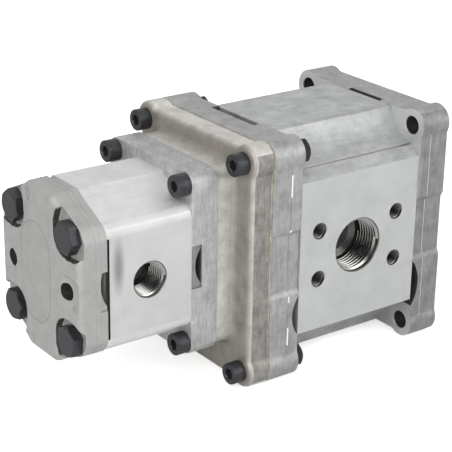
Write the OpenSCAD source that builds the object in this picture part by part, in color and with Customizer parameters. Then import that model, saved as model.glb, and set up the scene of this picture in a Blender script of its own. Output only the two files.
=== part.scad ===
/* [Front pump] */

// Bolt spacing of the mounting flange, across
flange_bolts_y = 98.4; // [96:0.1:102]
// Bolt spacing of the mounting flange, upright
flange_bolts_z = 128.2; // [127:0.1:131]
// Hole in each mounting ear
ear_hole_d = 11; // [9:0.5:13]
// Radius of each mounting ear
ear_r = 10.5; // [10.3:0.1:12]
// Thickness of the mounting flange
flange_t = 21; // [19:0.5:26]
// Pilot diameter
pilot_d = 60.3; // [56:0.1:62]
// Pilot height
pilot_h = 5.5; // [4:0.5:7]
// Face width of the front gears
front_face_w = 43; // [38:1:52]
// Length of each front bearing block
front_block_len = 23; // [21.5:0.5:26]
// Half width of the front body over the port pads
front_half_y = 57.4; // [55.8:0.2:58.2]
// Front gear module
front_module = 3.85; // [3.7:0.05:3.95]

/* [Rear pump] */

// Face width of the rear gears
rear_face_w = 25.8; // [22:0.2:38]
// Length of each rear bearing block
rear_block_len = 14.6; // [13.8:0.1:18]
// Half width of the rear body over the port pads
rear_half_y = 42.4; // [41.2:0.2:42.8]
// Thickness of the rear end cover
end_cover_t = 18; // [16.5:0.5:21]
// Rear gear module
rear_module = 2.9; // [2.75:0.05:3]

/* [Joining parts] */

// Thickness of the middle cover
cover_t = 21; // [20:0.5:26]
// Thickness of the paper gasket
gasket_t = 1; // [0.5:0.25:2]
// Thickness of the adapter plate
plate_t = 13.8; // [12.5:0.1:17]
// Length of the adapter boss
boss_len = 12.3; // [10.5:0.1:19]
// Thickness of the rear pump flange
small_flange_t = 17.5; // [16.5:0.5:22]

/* [Ports] */

// Outside thread diameter of the front inlet
front_in_d = 33.25; // [27:0.01:38]
// Bolt spacing of the front inlet along the shaft
front_in_bolts_x = 58.7; // [52:0.1:66]
// Bolt spacing of the front inlet, upright
front_in_bolts_z = 30.2; // [27:0.1:36]
// Outside thread diameter of the front outlet
front_out_d = 26.44; // [21:0.01:31]
// Bolt spacing of the front outlet along the shaft
front_out_bolts_x = 47.6; // [42:0.1:52]
// Bolt spacing of the front outlet, upright
front_out_bolts_z = 22.2; // [20:0.1:27]
// Outside thread diameter of the rear inlet
rear_in_d = 20.96; // [16:0.01:27]
// Outside thread diameter of the rear outlet
rear_out_d = 16.66; // [13:0.01:22]

/* [Shaft] */

// Large end of the 1:8 taper
taper_d = 22; // [20.5:0.1:24]
// Length of the taper
taper_len = 18; // [15.5:0.5:22]
// Outside diameter of the shaft end thread
shaft_thread_d = 14; // [12:0.5:15.5]
// Width of the shaft key
key_w = 4; // [3:0.5:5]

/* [Hidden] */

$fn = 48;
eps = 0.02;
over = 1;

// Clearances
bore_gap = 0.05;
end_gap = 0.1;
bush_gap = 0.04;
seat_gap = 0.02;
seal_gap = 0.05;
pin_gap = 0.03;
thread_gap = 0.05;
slide_gap = 0.1;
tip_gap = 0.075;

// Gear pairs
teeth = 12;
tooth_pitch = 360 / teeth;
pressure_angle = 25;
backlash = 0.12;
addendum_f = 0.95;
dedendum_f = 1.25;
front_r = front_module * teeth / 2;
rear_r = rear_module * teeth / 2;
front_tip = front_r + addendum_f * front_module;
rear_tip = rear_r + addendum_f * rear_module;
front_bore = front_tip + tip_gap;
rear_bore = rear_tip + tip_gap;
front_journal = 13;
rear_journal = 9.5;
front_bush_r = 14.8;
rear_bush_r = 10.8;
front_zc = -front_r;
rear_zc = -rear_r;

// Stations along the shaft, mounting face at zero
front_body_len = front_face_w + 2 * front_block_len + 4 * end_gap;
rear_body_len = rear_face_w + 2 * rear_block_len + 4 * end_gap;
x_flange = -flange_t;
x_front = x_flange - front_body_len;
x_cover = x_front - cover_t;
x_gasket = x_cover - gasket_t;
x_plate = x_gasket - plate_t;
x_boss = x_plate - boss_len;
x_small = x_boss - small_flange_t;
x_rear = x_small - rear_body_len;
x_end = x_rear - end_cover_t;
x_front_mid = (x_flange + x_front) / 2;
x_rear_mid = (x_small + x_rear) / 2;

// Mounting flange and middle cover outlines, half sizes
flange_half_y = 58.3;
flange_half_z = 72.4;
flange_cut = 8.6;
cover_half_y = flange_half_y - 0.45;
plate_half_y = cover_half_y - 1.1;
plate_half_z = flange_half_z - 0.45;
gasket_ear_r = ear_r - 0.1;
corner_steps = 8;
panel_half_z = 18;
panel_drop = 1.7;
ear_y = flange_bolts_y / 2;
ear_z = flange_bolts_z / 2;
ears = [[ear_y, ear_z], [-ear_y, ear_z], [ear_y, -ear_z], [-ear_y, -ear_z]];
edge_cut = 3.1;
ear_cut = 1.9;

// Casting reliefs beside the front body
flange_lens_half = 14.85;
flange_lens_z = 36.45;
cover_lens_half = 12.85;
cover_lens_z = 34.3;
lens_sag = 4.7;
lens_deep = 7.7;
flange_slot_x = 2.6;
cover_slot_x = 6;
slot_deep = 5.2;
flange_slot = [-20, 9.5];
cover_slot = [-18, 24];

// Front body fasteners
tie_y = 36;
tie_z = 46.3;
ties = [[tie_y, tie_z], [-tie_y, tie_z], [tie_y, -tie_z], [-tie_y, -tie_z]];
tie_r = 5;
tie_hole_r = 5.5;
tie_head_r = 8;
tie_head_k = 10;
tie_sink_r = 8.6;
tie_sink = 11;
tie_grip = 16;
tie_tap = 17;
tie_hex = 8;
head_edge = 0.5;
socket_share = 0.55;
front_dowel_y = 44.6;
front_dowel_r = 3.5;
front_dowel_half = 7.5;

// Adapter fasteners
m8_r = 4;
m8_hole_r = 4.5;
m8_head_r = 6.5;
m8_head_k = 8;
m8_hex = 6;
nut_af = 13;
nut_k = 6.5;
nut_turn = 12;
screw_proud = -0.3;

// Small flange and adapter boss
small_half_y = 42.7;
small_half_z = 55.3;
small_corner = 6.8;
small_y = 35.7;
small_z = 48.1;
small_holes = [[small_y, small_z], [-small_y, small_z], [small_y, -small_z], [-small_y, -small_z]];
small_tap = 16;
boss_half_y = 41.8;
boss_half_z = 54.2;
boss_corner = 7.7;
boss_fillet = 3.3;
fillet_steps = 4;
flank_steps = 5;
root_spread = 1.2;
adapter_bore_r = 27.5;
gasket_bore_r = 31;
spigot_r = 32.6;
spigot_len = 4.3;
spigot_spare = 0.3;
o_ring_wire = 1.25;
o_ring_seat = 2.55;

// Rear pump fasteners and reliefs
bolt_y = 29.8;
bolt_z = 30.4;
bolts = [[bolt_y, bolt_z], [-bolt_y, bolt_z], [bolt_y, -bolt_z], [-bolt_y, -bolt_z]];
m10_r = 5;
m10_hole_r = 5.5;
bolt_af = 17;
bolt_k = 6.4;
bolt_pocket = 4.7;
pocket_edge = [
    [68.6, 18.45], [30, 17.9], [24.45, 18.7], [20.15, 21], [17.3, 25.05], [16.3, 30],
    [16.7, 37.3], [19.2, 43.4], [24, 48.9], [30.85, 68.6], [68.6, 68.6]];
cover_edge_cut = 2.9;
cover_side_drop = 4.3;
cover_side_half = 9.85;
bolt_tap = 13;
bolt_turns = [10, 24, 38, 52];
tap_spare = 1.7;
rear_cover_half_y = 43.3;
rear_notch_x = 4.45;
rear_notch_half = 11.6;
small_notch_x = 6.7;
small_notch_half = 13.05;
notch_deep = 6;
notch_bulge_r = 29.15;
notch_land = 2.05;
blind_r = 4.9;
blind_deep = 7.5;
blind_y = 30.3;
blind_z = -1.35;
race_r = 16.05;
race_half_z = 14;
race_y = 3.95;
race_z = -1.05;
race_groove = 0.4;
race_line = 0.35;
race_steps = 24;
rear_dowel_y = 32.6;
rear_dowel_r = 2.5;
rear_dowel_half = 6;

// Ports
port_shift = -0.95;
front_reach = 8.6;
rear_reach = 6.85;
front_in_depth = 20.5;
front_in_step = 11.8;
front_out_depth = 17;
front_out_step = 10;
port_bolt_r = 5;
in_tap_depth = 20;
out_tap_depth = 17;
rear_in_depth = 17;
rear_in_step = 8;
rear_out_depth = 14;
rear_out_step = 6;

// Shaft line
seal_bore_r = 20;
seal_w = 7;
seal_floor = -7;
clip_t = 1.5;
clip_x = 0.15;
clip_groove_r = 21;
clip_out_r = clip_groove_r - 0.2;
clip_in_r = 18.3;
clip_open = 6;
lug_r = 2.55;
lug_hole_r = 1.05;
lug_y = 7.7;
lug_z = 15.45;
flange_shaft_r = 13.4;
taper_x = 6;
collar_x = 4.3;
taper_end = taper_x + taper_len;
taper_small_r = (taper_d - taper_len / 8) / 2;
shaft_thread_r = shaft_thread_d / 2;
shaft_thread_len = 12;
thread_relief = 1.05;
thread_relief_len = 1.3;
thread_end = 1;
shaft_tip = taper_end + shaft_thread_len;
washer_r = 12;
washer_t = 2.5;
shaft_nut_af = 22;
shaft_nut_k = 8;
key_len = 13;
key_x = taper_x + 2.5;
key_low = 7.5;
key_top = 12;
neck_r = 9.4;
neck_hole_r = 10.3;
coupling_seal_r = 15;
coupling_seal_w = 6;
coupling_seal_seat = 6.3;
spline_root = 8.15;
spline_tip = 9.35;
spline_w = 2.9;
splines = 8;
sleeve_r = 14.6;
sleeve_start = x_cover - 3.1;
sleeve_end = x_boss + spigot_len + 1.05;
shaft_meet = (sleeve_start + sleeve_end) / 2;
shaft_split = 0.5;
rear_neck_r = 8.05;
rear_neck_hole = 8.9;
spline_lead = 0.7;

// Seals of the pump bodies
seal_wide = 2.55;
seal_thick = 1.9;
front_seal_r = front_bore + 2.55;
rear_seal_r = rear_bore + 2.25;
race_ring_steps = 20;
three_out = 0.936;
three_in = 0.846;
three_deep = 2.05;
three_gap = 0.06;
three_start = 1.7;
relief_deep = 1.7;
relief_wide = 2.25;
relief_tall = 1.45;

// Hexagon edges as shares of the width across flats and the height
hex_corner = 0.58;
nut_face = 0.5;
nut_edge = 0.15;
bolt_face = 0.48;
bolt_edge = 0.2;

// Body and cover outlines, quarter points from the top
front_half = [
    [27.45, 71.75], [29.5, 70.85], [31.55, 66.35], [34.8, 61.4], [38.75, 57.35], [43.2, 54.45],
    [48, 52.75], [48.55, 52.2], [49.2, 52.5], [front_half_y, 47]];
rear_half = [[12.85, 49.9], [17.15, 46.65], [38.25, 37.05], [40.8, 34.65], [rear_half_y, 29.65]];
cover_top = 50;
cover_half = [[13.7, cover_top], [18.85, 46.5], [38.4, 37.4], [rear_cover_half_y, 30.45]];
cover_corner = 2.55;
cover_steps = 3;

// Outline helpers
function unit(v) = v / norm(v);
function corner_arc(a, p, b, r, n) =
    let (u = unit(a - p))
    let (v = unit(b - p))
    let (half = acos(u * v) / 2)
    let (t = r / tan(half))
    let (c = p + unit(u + v) * r / sin(half))
    let (s = p + u * t - c)
    let (e = p + v * t - c)
    let (turn = 180 - 2 * half)
    let (side = s[0] * e[1] - s[1] * e[0] > 0 ? 1 : -1)
    [for (i = [0 : n]) let (q = side * turn * i / n)
        [c[0] + s[0] * cos(q) - s[1] * sin(q), c[1] + s[0] * sin(q) + s[1] * cos(q)]];
function rounded(pts, r, n) =
    [for (i = [0 : len(pts) - 1])
        each corner_arc(pts[(i + len(pts) - 1) % len(pts)], pts[i], pts[(i + 1) % len(pts)], r, n)];
function both_ends(q) = concat(q, [for (i = [len(q) - 1 : -1 : 0]) [q[i][0], -q[i][1]]]);
function mirrored(half) = concat(half, [for (i = [len(half) - 1 : -1 : 0]) [-half[i][0], half[i][1]]]);
function rect(hy, hz) = [[hy, hz], [-hy, hz], [-hy, -hz], [hy, -hz]];
function cut_rect(hy, hz, c) = [
    [hy, hz - c], [hy - c, hz], [c - hy, hz], [-hy, hz - c],
    [-hy, c - hz], [c - hy, -hz], [hy - c, -hz], [hy, c - hz]];
function panel_rect(hy, hz, c, ph, drop) = mirrored([
    [hy - c, hz], [hy, hz - c], [hy, ph + drop], [hy - drop, ph],
    [hy - drop, -ph], [hy, -ph - drop], [hy, c - hz], [hy - c, -hz]]);
function racetrack(half_z, r, n) = concat(
    [for (i = [0 : n]) [r * cos(180 * i / n), half_z + r * sin(180 * i / n)]],
    [for (i = [0 : n]) [-r * cos(180 * i / n), -half_z - r * sin(180 * i / n)]]);

// Section of a shaft seal, radius and height, lip proportions as shares of its width
function lip_profile(r_out, r_shaft, w) = [
    [r_out, 0], [r_out, w], [r_out - 0.36 * w, w], [r_out - 0.36 * w, 0.28 * w],
    [r_shaft + 0.28 * w, 0.28 * w], [r_shaft + 0.2 * w, 0.8 * w], [r_shaft + seal_gap, 0.65 * w],
    [r_shaft + seal_gap, 0.57 * w], [r_shaft + 0.11 * w, 0]];

// Involute tooth outline
function inv_deg(a) = tan(a) * 180 / PI - a;
function flank(rho, r) =
    (PI * r / teeth - backlash) / (2 * r) * 180 / PI + inv_deg(pressure_angle)
    - inv_deg(acos(min(1, r * cos(pressure_angle) / rho)));
function gear_points(m, r, n) =
    let (base = r * cos(pressure_angle) + eps)
    let (tip = r + addendum_f * m)
    let (root = r - dedendum_f * m)
    let (foot = flank(base, r) + root_spread)
    [for (k = [0 : teeth - 1]) each concat(
        [[root * cos(k * tooth_pitch - foot), root * sin(k * tooth_pitch - foot)]],
        [for (i = [0 : n])
            let (rho = base + (tip - base) * i / n)
            let (a = k * tooth_pitch - flank(rho, r))
            [rho * cos(a), rho * sin(a)]],
        [for (i = [n : -1 : 0])
            let (rho = base + (tip - base) * i / n)
            let (a = k * tooth_pitch + flank(rho, r))
            [rho * cos(a), rho * sin(a)]],
        [[root * cos(k * tooth_pitch + foot), root * sin(k * tooth_pitch + foot)]])];

// Solid along the shaft from station a to station b
module along(a, b) {
    translate([min(a, b), 0, 0])
        rotate([90, 0, 90])
            linear_extrude(abs(b - a))
                children();
}

module rod(a, b, r, y, z) {
    translate([min(a, b), y, z])
        rotate([0, 90, 0])
            cylinder(h = abs(b - a), r = r);
}

module cone(a, b, ra, rb, y, z) {
    translate([a, y, z])
        rotate([0, 90, 0])
            cylinder(h = b - a, r1 = ra, r2 = rb);
}

module hex_rod(a, b, af, y, z, turn) {
    translate([min(a, b), y, z])
        rotate([0, 90, 0])
            rotate([0, 0, turn])
                cylinder(h = abs(b - a), d = af / cos(30), $fn = 6);
}

module side_hole(side, face, depth, r, x, z) {
    translate([x, side * (face + over), z])
        rotate([side * 90, 0, 0])
            cylinder(h = depth + over, r = r);
}

// Hole for a locating pin, from the joint at x towards dir
module dowel_hole(x, dir, half, r, y) {
    rod(x - dir * over, x + dir * (half + over), r + pin_gap, y, 0);
}

module block(x0, x1, y0, y1, z0, z1) {
    translate([x0, y0, z0])
        cube([x1 - x0, y1 - y0, z1 - z0]);
}

// Rounded relief beside a body joint, face at x, casting on the side dir
module lens_relief(x, dir, side, half_y, lens_half, z) {
    lens_r = (lens_half * lens_half + lens_sag * lens_sag) / (2 * lens_sag);
    intersection() {
        translate([x + dir * (lens_sag - lens_r), side * half_y, z])
            rotate([90, 0, 0])
                cylinder(h = 2 * lens_deep, r = lens_r, center = true);
        translate([x + dir * (lens_sag / 2 - over / 2), side * half_y, z])
            cube([lens_sag + over, 2 * lens_deep, 3 * lens_half], center = true);
    }
}

module seal_ring(a, b, half_z, r, zc, grow) {
    translate([0, 0, zc])
        difference() {
            along(a, b)
                polygon(racetrack(half_z, r + seal_wide + grow, race_ring_steps));
            along(min(a, b) - over, max(a, b) + over)
                polygon(racetrack(half_z, r - grow, race_ring_steps));
        }
}

module edge_taper(x_face, x_in, hy, hz, cut) {
    intersection() {
        translate([0, 0, -2 * hz])
            linear_extrude(4 * hz)
                polygon([[x_in, -hy], [x_in, hy], [x_face + cut, hy], [x_face, hy - cut],
                    [x_face, cut - hy], [x_face + cut, -hy]]);
        translate([0, 2 * hy, 0])
            rotate([90, 0, 0])
                linear_extrude(4 * hy)
                    polygon([[x_in, -hz], [x_in, hz], [x_face + cut, hz], [x_face, hz - cut],
                        [x_face, cut - hz], [x_face + cut, -hz]]);
    }
}

module front_flange() {
    color("lightgray")
        difference() {
            union() {
                translate([0, 0, front_zc]) {
                    along(x_flange, 0)
                        polygon(panel_rect(flange_half_y, flange_half_z, flange_cut,
                            panel_half_z, panel_drop));
                    for (e = ears)
                        rod(x_flange, 0, ear_r, e[0], e[1]);
                }
                rod(-over, pilot_h, pilot_d / 2, 0, 0);
            }
            translate([0, 0, front_zc]) {
                for (e = ears)
                    rod(x_flange - over, over, ear_hole_d / 2, e[0], e[1]);
                for (t = ties) {
                    rod(x_flange - over, over, tie_hole_r, t[0], t[1]);
                    rod(-tie_sink, over, tie_sink_r, t[0], t[1]);
                }
                for (s = [-1, 1]) {
                    lens_relief(x_flange, 1, s, flange_half_y, flange_lens_half, -flange_lens_z);
                    dowel_hole(x_flange, 1, front_dowel_half, front_dowel_r, s * front_dowel_y);
                }
                block(x_flange - over, x_flange + flange_slot_x, flange_slot[0], flange_slot[1],
                    flange_half_z - slot_deep, flange_half_z + over);
            }
            seal_ring(x_flange - over, x_flange + seal_thick, front_r, front_seal_r, front_zc, seal_gap);
            rod(x_flange - over, pilot_h + over, flange_shaft_r, 0, 0);
            rod(seal_floor, pilot_h + over, seal_bore_r, 0, 0);
            rod(clip_x - seal_gap, clip_x + clip_t + seal_gap, clip_groove_r, 0, 0);
        }
}

module shaft_seal() {
    color("dimgray")
        translate([seal_floor + seat_gap, 0, 0])
            rotate([90, 0, 90])
                rotate_extrude()
                    polygon(lip_profile(seal_bore_r - seal_gap, front_journal, seal_w));
}

module seal_circlip() {
    color("gray")
        difference() {
            rod(clip_x, clip_x + clip_t, clip_out_r, 0, 0);
            rod(clip_x - over, clip_x + clip_t + over, clip_in_r, 0, 0);
            block(clip_x - over, clip_x + clip_t + over, -clip_open, clip_open, 0, clip_groove_r + over);
        }
    color("gray")
        for (s = [-1, 1])
            difference() {
                rod(clip_x, clip_x + clip_t, lug_r, s * lug_y, lug_z);
                rod(clip_x - over, clip_x + clip_t + over, lug_hole_r, s * lug_y, lug_z);
            }
}

module body_port(side, face, depth, d, step_r, reach, x) {
    side_hole(side, face, depth, d / 2, x, 0);
    side_hole(side, face, face - reach, step_r, x, 0);
}

module front_body() {
    port_x = x_front_mid + port_shift;
    color("silver")
        difference() {
            translate([0, 0, front_zc])
                along(x_front, x_flange)
                    polygon(mirrored(both_ends(front_half)));
            rod(x_front - over, x_flange + over, front_bore, 0, 0);
            rod(x_front - over, x_flange + over, front_bore, 0, 2 * front_zc);
            translate([0, 0, front_zc]) {
                for (t = ties)
                    rod(x_front - over, x_flange + over, tie_hole_r, t[0], t[1]);
                for (s = [-1, 1]) {
                    dowel_hole(x_flange, -1, front_dowel_half, front_dowel_r, s * front_dowel_y);
                    dowel_hole(x_front, 1, front_dowel_half, front_dowel_r, s * front_dowel_y);
                }
                body_port(-1, front_half_y, front_in_depth, front_in_d, front_in_step, front_reach, port_x);
                body_port(1, front_half_y, front_out_depth, front_out_d, front_out_step, front_reach, port_x);
                for (sx = [-1, 1])
                    for (sz = [-1, 1]) {
                        side_hole(-1, front_half_y, in_tap_depth, port_bolt_r,
                            port_x + sx * front_in_bolts_x / 2, sz * front_in_bolts_z / 2);
                        side_hole(1, front_half_y, out_tap_depth, port_bolt_r,
                            port_x + sx * front_out_bolts_x / 2, sz * front_out_bolts_z / 2);
                    }
            }
        }
}

module body_seals(xa, xb, half_z, r, zc) {
    for (x = [xa, xb - seal_thick])
        seal_ring(x + seat_gap, x + seal_thick - seat_gap, half_z, r, zc, 0);
}

module front_body_seals() {
    color("darkgreen")
        body_seals(x_flange, x_front, front_r, front_seal_r, front_zc);
}

// Bearing block, a to b, groove cut on the face at b when out is 1, at a when out is -1
module bearing_block(a, b, r, bush, m, out) {
    c = m * teeth;
    face = out > 0 ? b : a;
    color("goldenrod")
        difference() {
            union() {
                rod(a, b, r, 0, 0);
                rod(a, b, r, 0, -c);
            }
            rod(a - over, b + over, bush, 0, 0);
            rod(a - over, b + over, bush, 0, -c);
            three_shape(face - three_deep, face + three_deep, r, c, three_gap);
            translate([out > 0 ? a : b, 0, -c / 2])
                cube([2 * relief_deep, relief_wide * m, relief_tall * m], center = true);
        }
}

module three_shape(a, b, r, c, grow) {
    intersection() {
        difference() {
            union() {
                rod(a, b, r * three_out + grow, 0, 0);
                rod(a, b, r * three_out + grow, 0, -c);
            }
            rod(a - over, b + over, r * three_in - grow, 0, 0);
            rod(a - over, b + over, r * three_in - grow, 0, -c);
        }
        block(a - over, b + over, three_start - grow, 2 * r, -2 * c, c);
    }
}

module front_block_a() {
    bearing_block(x_flange - end_gap - front_block_len, x_flange - end_gap,
        front_bore - bore_gap, front_bush_r, front_module, 1);
}

module front_block_b() {
    bearing_block(x_front + end_gap, x_front + end_gap + front_block_len,
        front_bore - bore_gap, front_bush_r, front_module, -1);
}

module bush_set(xa, xb, len_b, r_out, r_in, c) {
    color("peru")
        for (x = [xa - end_gap - len_b, xb + end_gap])
            for (z = [0, -c])
                difference() {
                    rod(x + over, x + len_b - over, r_out - seat_gap, 0, z);
                    rod(x, x + len_b, r_in + bush_gap, 0, z);
                }
}

module front_bushes() {
    bush_set(x_flange, x_front, front_block_len, front_bush_r, front_journal, 2 * front_r);
}

module pressure_seals(xa, xb, r, c) {
    color("seagreen") {
        three_shape(xa - end_gap - three_deep + seat_gap, xa - end_gap, r, c, 0);
        three_shape(xb + end_gap, xb + end_gap + three_deep - seat_gap, r, c, 0);
    }
}

module front_pressure_seals() {
    pressure_seals(x_flange, x_front, front_bore - bore_gap, 2 * front_r);
}

module gear_teeth(a, b, m, r, z, turn) {
    translate([0, 0, z])
        along(a, b)
            rotate(turn)
                polygon(gear_points(m, r, flank_steps));
}

module spline_teeth(a, b) {
    rod(a, b, spline_root, 0, 0);
    for (i = [0 : splines - 1])
        rotate([i * 360 / splines, 0, 0])
            block(a, b, -spline_w / 2, spline_w / 2, spline_root / 2, spline_tip);
}

module front_drive_gear() {
    gear_hi = x_flange - front_block_len - 2 * end_gap;
    gear_lo = gear_hi - front_face_w;
    color("slategray")
        difference() {
            union() {
                gear_teeth(gear_lo, gear_hi, front_module, front_r, 0, 0);
                rod(x_front + end_gap, collar_x, front_journal, 0, 0);
                cone(collar_x, taper_x, front_journal, taper_d / 2, 0, 0);
                cone(taper_x, taper_end, taper_d / 2, taper_small_r, 0, 0);
                rod(taper_end - over, taper_end + thread_relief_len, shaft_thread_r - thread_relief, 0, 0);
                rod(taper_end + thread_relief_len, shaft_tip - thread_end, shaft_thread_r, 0, 0);
                cone(shaft_tip - thread_end, shaft_tip, shaft_thread_r, shaft_thread_r - thread_end, 0, 0);
                rod(sleeve_start + over, x_front + over, neck_r, 0, 0);
                spline_teeth(shaft_meet + shaft_split, sleeve_start + 2 * over);
            }
            block(key_x - pin_gap, key_x + key_len + pin_gap, -key_w / 2 - pin_gap, key_w / 2 + pin_gap,
                key_low - pin_gap, 2 * key_top);
        }
}

module front_driven_gear() {
    gear_hi = x_flange - front_block_len - 2 * end_gap;
    gear_lo = gear_hi - front_face_w;
    color("slategray")
        union() {
            gear_teeth(gear_lo, gear_hi, front_module, front_r, 2 * front_zc, tooth_pitch / 2);
            rod(x_front + end_gap, x_flange - end_gap, front_journal, 0, 2 * front_zc);
        }
}

module shaft_key() {
    color("dimgray")
        block(key_x, key_x + key_len, -key_w / 2, key_w / 2, key_low, key_top);
}

module shaft_washer() {
    color("darkgray")
        difference() {
            rod(taper_end + pin_gap, taper_end + pin_gap + washer_t, washer_r, 0, 0);
            rod(taper_end - over, taper_end + washer_t + over, shaft_thread_r + pin_gap, 0, 0);
        }
}

// Hexagon nut, bore with clearance, both faces chamfered
module hex_nut(a, k, af, bore_r, y, z, turn) {
    difference() {
        intersection() {
            hex_rod(a, a + k, af, y, z, turn);
            union() {
                cone(a, a + nut_edge * k, af * nut_face, af * hex_corner, y, z);
                rod(a + nut_edge * k, a + (1 - nut_edge) * k, af * hex_corner, y, z);
                cone(a + (1 - nut_edge) * k, a + k, af * hex_corner, af * nut_face, y, z);
            }
        }
        rod(a - over, a + k + over, bore_r, y, z);
    }
}

module shaft_nut() {
    color("darkgray")
        hex_nut(taper_end + washer_t + 2 * pin_gap, shaft_nut_k, shaft_nut_af,
            shaft_thread_r + thread_gap, 0, 0, 0);
}

module front_dowels() {
    color("lightsteelblue")
        for (x = [x_flange, x_front])
            for (s = [-1, 1])
                rod(x - front_dowel_half, x + front_dowel_half, front_dowel_r, s * front_dowel_y, front_zc);
}

// Socket head screw, head from seat x towards dir, shank the other way
module cap_screw(x, dir, head_r, head_k, shank_r, shank_len, hex_af, y, z) {
    difference() {
        union() {
            rod(x, x + dir * (head_k - head_edge), head_r, y, z);
            rod(x, x + dir * head_k, head_r - head_edge, y, z);
            rod(x + dir * over, x - dir * shank_len, shank_r, y, z);
        }
        hex_rod(x + dir * head_k * (1 - socket_share), x + dir * (head_k + over), hex_af, y, z, 30);
    }
}

module front_tie_screws() {
    color("dimgray")
        translate([0, 0, front_zc])
            for (t = ties)
                cap_screw(-tie_sink, 1, tie_head_r, tie_head_k, tie_r - thread_gap,
                    -tie_sink - x_front + tie_grip, tie_hex, t[0], t[1]);
}

module middle_cover() {
    color("lightgray")
        difference() {
            translate([0, 0, front_zc]) {
                along(x_cover, x_front)
                    polygon(panel_rect(cover_half_y, flange_half_z, flange_cut, panel_half_z, panel_drop));
                for (e = ears)
                    rod(x_cover, x_front, ear_r, e[0], e[1]);
            }
            translate([0, 0, front_zc]) {
                for (e = ears)
                    rod(x_cover - over, x_front + over, m8_hole_r, e[0], e[1]);
                for (t = ties)
                    rod(x_front - tie_tap, x_front + over, tie_r, t[0], t[1]);
                for (s = [-1, 1]) {
                    lens_relief(x_front, -1, s, cover_half_y, cover_lens_half, -cover_lens_z);
                    dowel_hole(x_front, -1, front_dowel_half, front_dowel_r, s * front_dowel_y);
                }
                block(x_front - cover_slot_x, x_front + over, cover_slot[0], cover_slot[1],
                    flange_half_z - slot_deep, flange_half_z + over);
            }
            seal_ring(x_front - seal_thick, x_front + over, front_r, front_seal_r, front_zc, seal_gap);
            rod(x_cover - over, x_front + over, neck_hole_r, 0, 0);
            rod(x_cover - over, x_cover + coupling_seal_seat, coupling_seal_r, 0, 0);
        }
}

module coupling_seal() {
    color("dimgray")
        translate([x_cover + coupling_seal_seat - coupling_seal_w - seat_gap, 0, 0])
            rotate([90, 0, 90])
                rotate_extrude()
                    polygon([for (p = lip_profile(coupling_seal_r - seal_gap, neck_r, coupling_seal_w))
                        [p[0], coupling_seal_w - p[1]]]);
}

module plate_outline() {
    polygon(cut_rect(plate_half_y, plate_half_z, flange_cut));
}

module adapter_gasket() {
    color("tan")
        translate([0, 0, front_zc])
            difference() {
                along(x_gasket, x_cover)
                    union() {
                        plate_outline();
                        for (e = ears)
                            translate(e)
                                circle(r = gasket_ear_r);
                    }
                for (e = ears)
                    rod(x_gasket - over, x_cover + over, m8_hole_r, e[0], e[1]);
                rod(x_gasket - over, x_cover + over, gasket_bore_r, 0, -front_zc);
            }
}

module adapter_housing() {
    color("wheat")
        difference() {
            union() {
                translate([0, 0, front_zc]) {
                    intersection() {
                        edge_taper(x_plate, x_gasket, plate_half_y, plate_half_z, edge_cut);
                        along(x_plate, x_gasket)
                            plate_outline();
                    }
                    for (e = ears) {
                        rod(x_plate + ear_cut, x_gasket, ear_r, e[0], e[1]);
                        cone(x_plate, x_plate + ear_cut, ear_r - ear_cut, ear_r, e[0], e[1]);
                    }
                }
                translate([0, 0, rear_zc]) {
                    along(x_boss, x_gasket - over)
                        polygon(rounded(rect(boss_half_y, boss_half_z), boss_corner, corner_steps));
                    for (i = [1 : fillet_steps]) {
                        q = 90 * i / (fillet_steps + 1);
                        rise = boss_fillet * (1 - cos(q));
                        along(x_plate + boss_fillet * (1 - sin(q)), x_gasket - over)
                            polygon(rounded(rect(boss_half_y + rise, boss_half_z + rise),
                                boss_corner, corner_steps));
                    }
                }
            }
            rod(x_boss - over, x_gasket + over, adapter_bore_r, 0, 0);
            rod(x_boss - over, x_boss + spigot_len + spigot_spare, spigot_r + bore_gap, 0, 0);
            translate([0, 0, front_zc])
                for (e = ears)
                    rod(x_plate - over, x_gasket + over, m8_hole_r, e[0], e[1]);
            translate([0, 0, rear_zc])
                for (h = small_holes)
                    rod(x_boss - over, x_boss + small_tap, m8_r, h[0], h[1]);
        }
}

module adapter_screws() {
    color("dimgray")
        translate([0, 0, front_zc])
            for (e = ears)
                cap_screw(x_plate, -1, m8_head_r, m8_head_k, m8_r - thread_gap,
                    x_front + nut_k + screw_proud - x_plate, m8_hex, e[0], e[1]);
}

module adapter_nuts() {
    color("dimgray")
        translate([0, 0, front_zc])
            for (e = ears)
                hex_nut(x_front, nut_k, nut_af, m8_r, e[0], e[1], nut_turn);
}

module adapter_o_ring() {
    color("black")
        translate([x_boss + spigot_len / 2, 0, 0])
            rotate([90, 0, 90])
                rotate_extrude($fn = 64)
                    translate([spigot_r - o_ring_wire + bore_gap - seal_gap, 0])
                        circle(r = o_ring_wire, $fn = 24);
}

module coupling_sleeve() {
    color("slategray")
        difference() {
            rod(sleeve_end, sleeve_start, sleeve_r, 0, 0);
            rod(sleeve_end - over, sleeve_start + over, spline_root + slide_gap, 0, 0);
            for (i = [0 : splines - 1])
                rotate([i * 360 / splines, 0, 0])
                    block(sleeve_end - over, sleeve_start + over,
                        -spline_w / 2 - slide_gap, spline_w / 2 + slide_gap,
                        spline_root / 2, spline_tip + slide_gap);
        }
}

// Notch in the side edge of a rear casting with a rounded land inside
module side_notch(x, dir, side, half_y, half_z, deep_x) {
    difference() {
        translate([x + dir * (deep_x - over) / 2, side * half_y, 0])
            cube([deep_x + over, 2 * notch_deep, 2 * half_z], center = true);
        rod(x - 2 * deep_x, x + 2 * deep_x, notch_bulge_r, side * (half_y - notch_bulge_r - notch_land), 0);
    }
}

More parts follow.
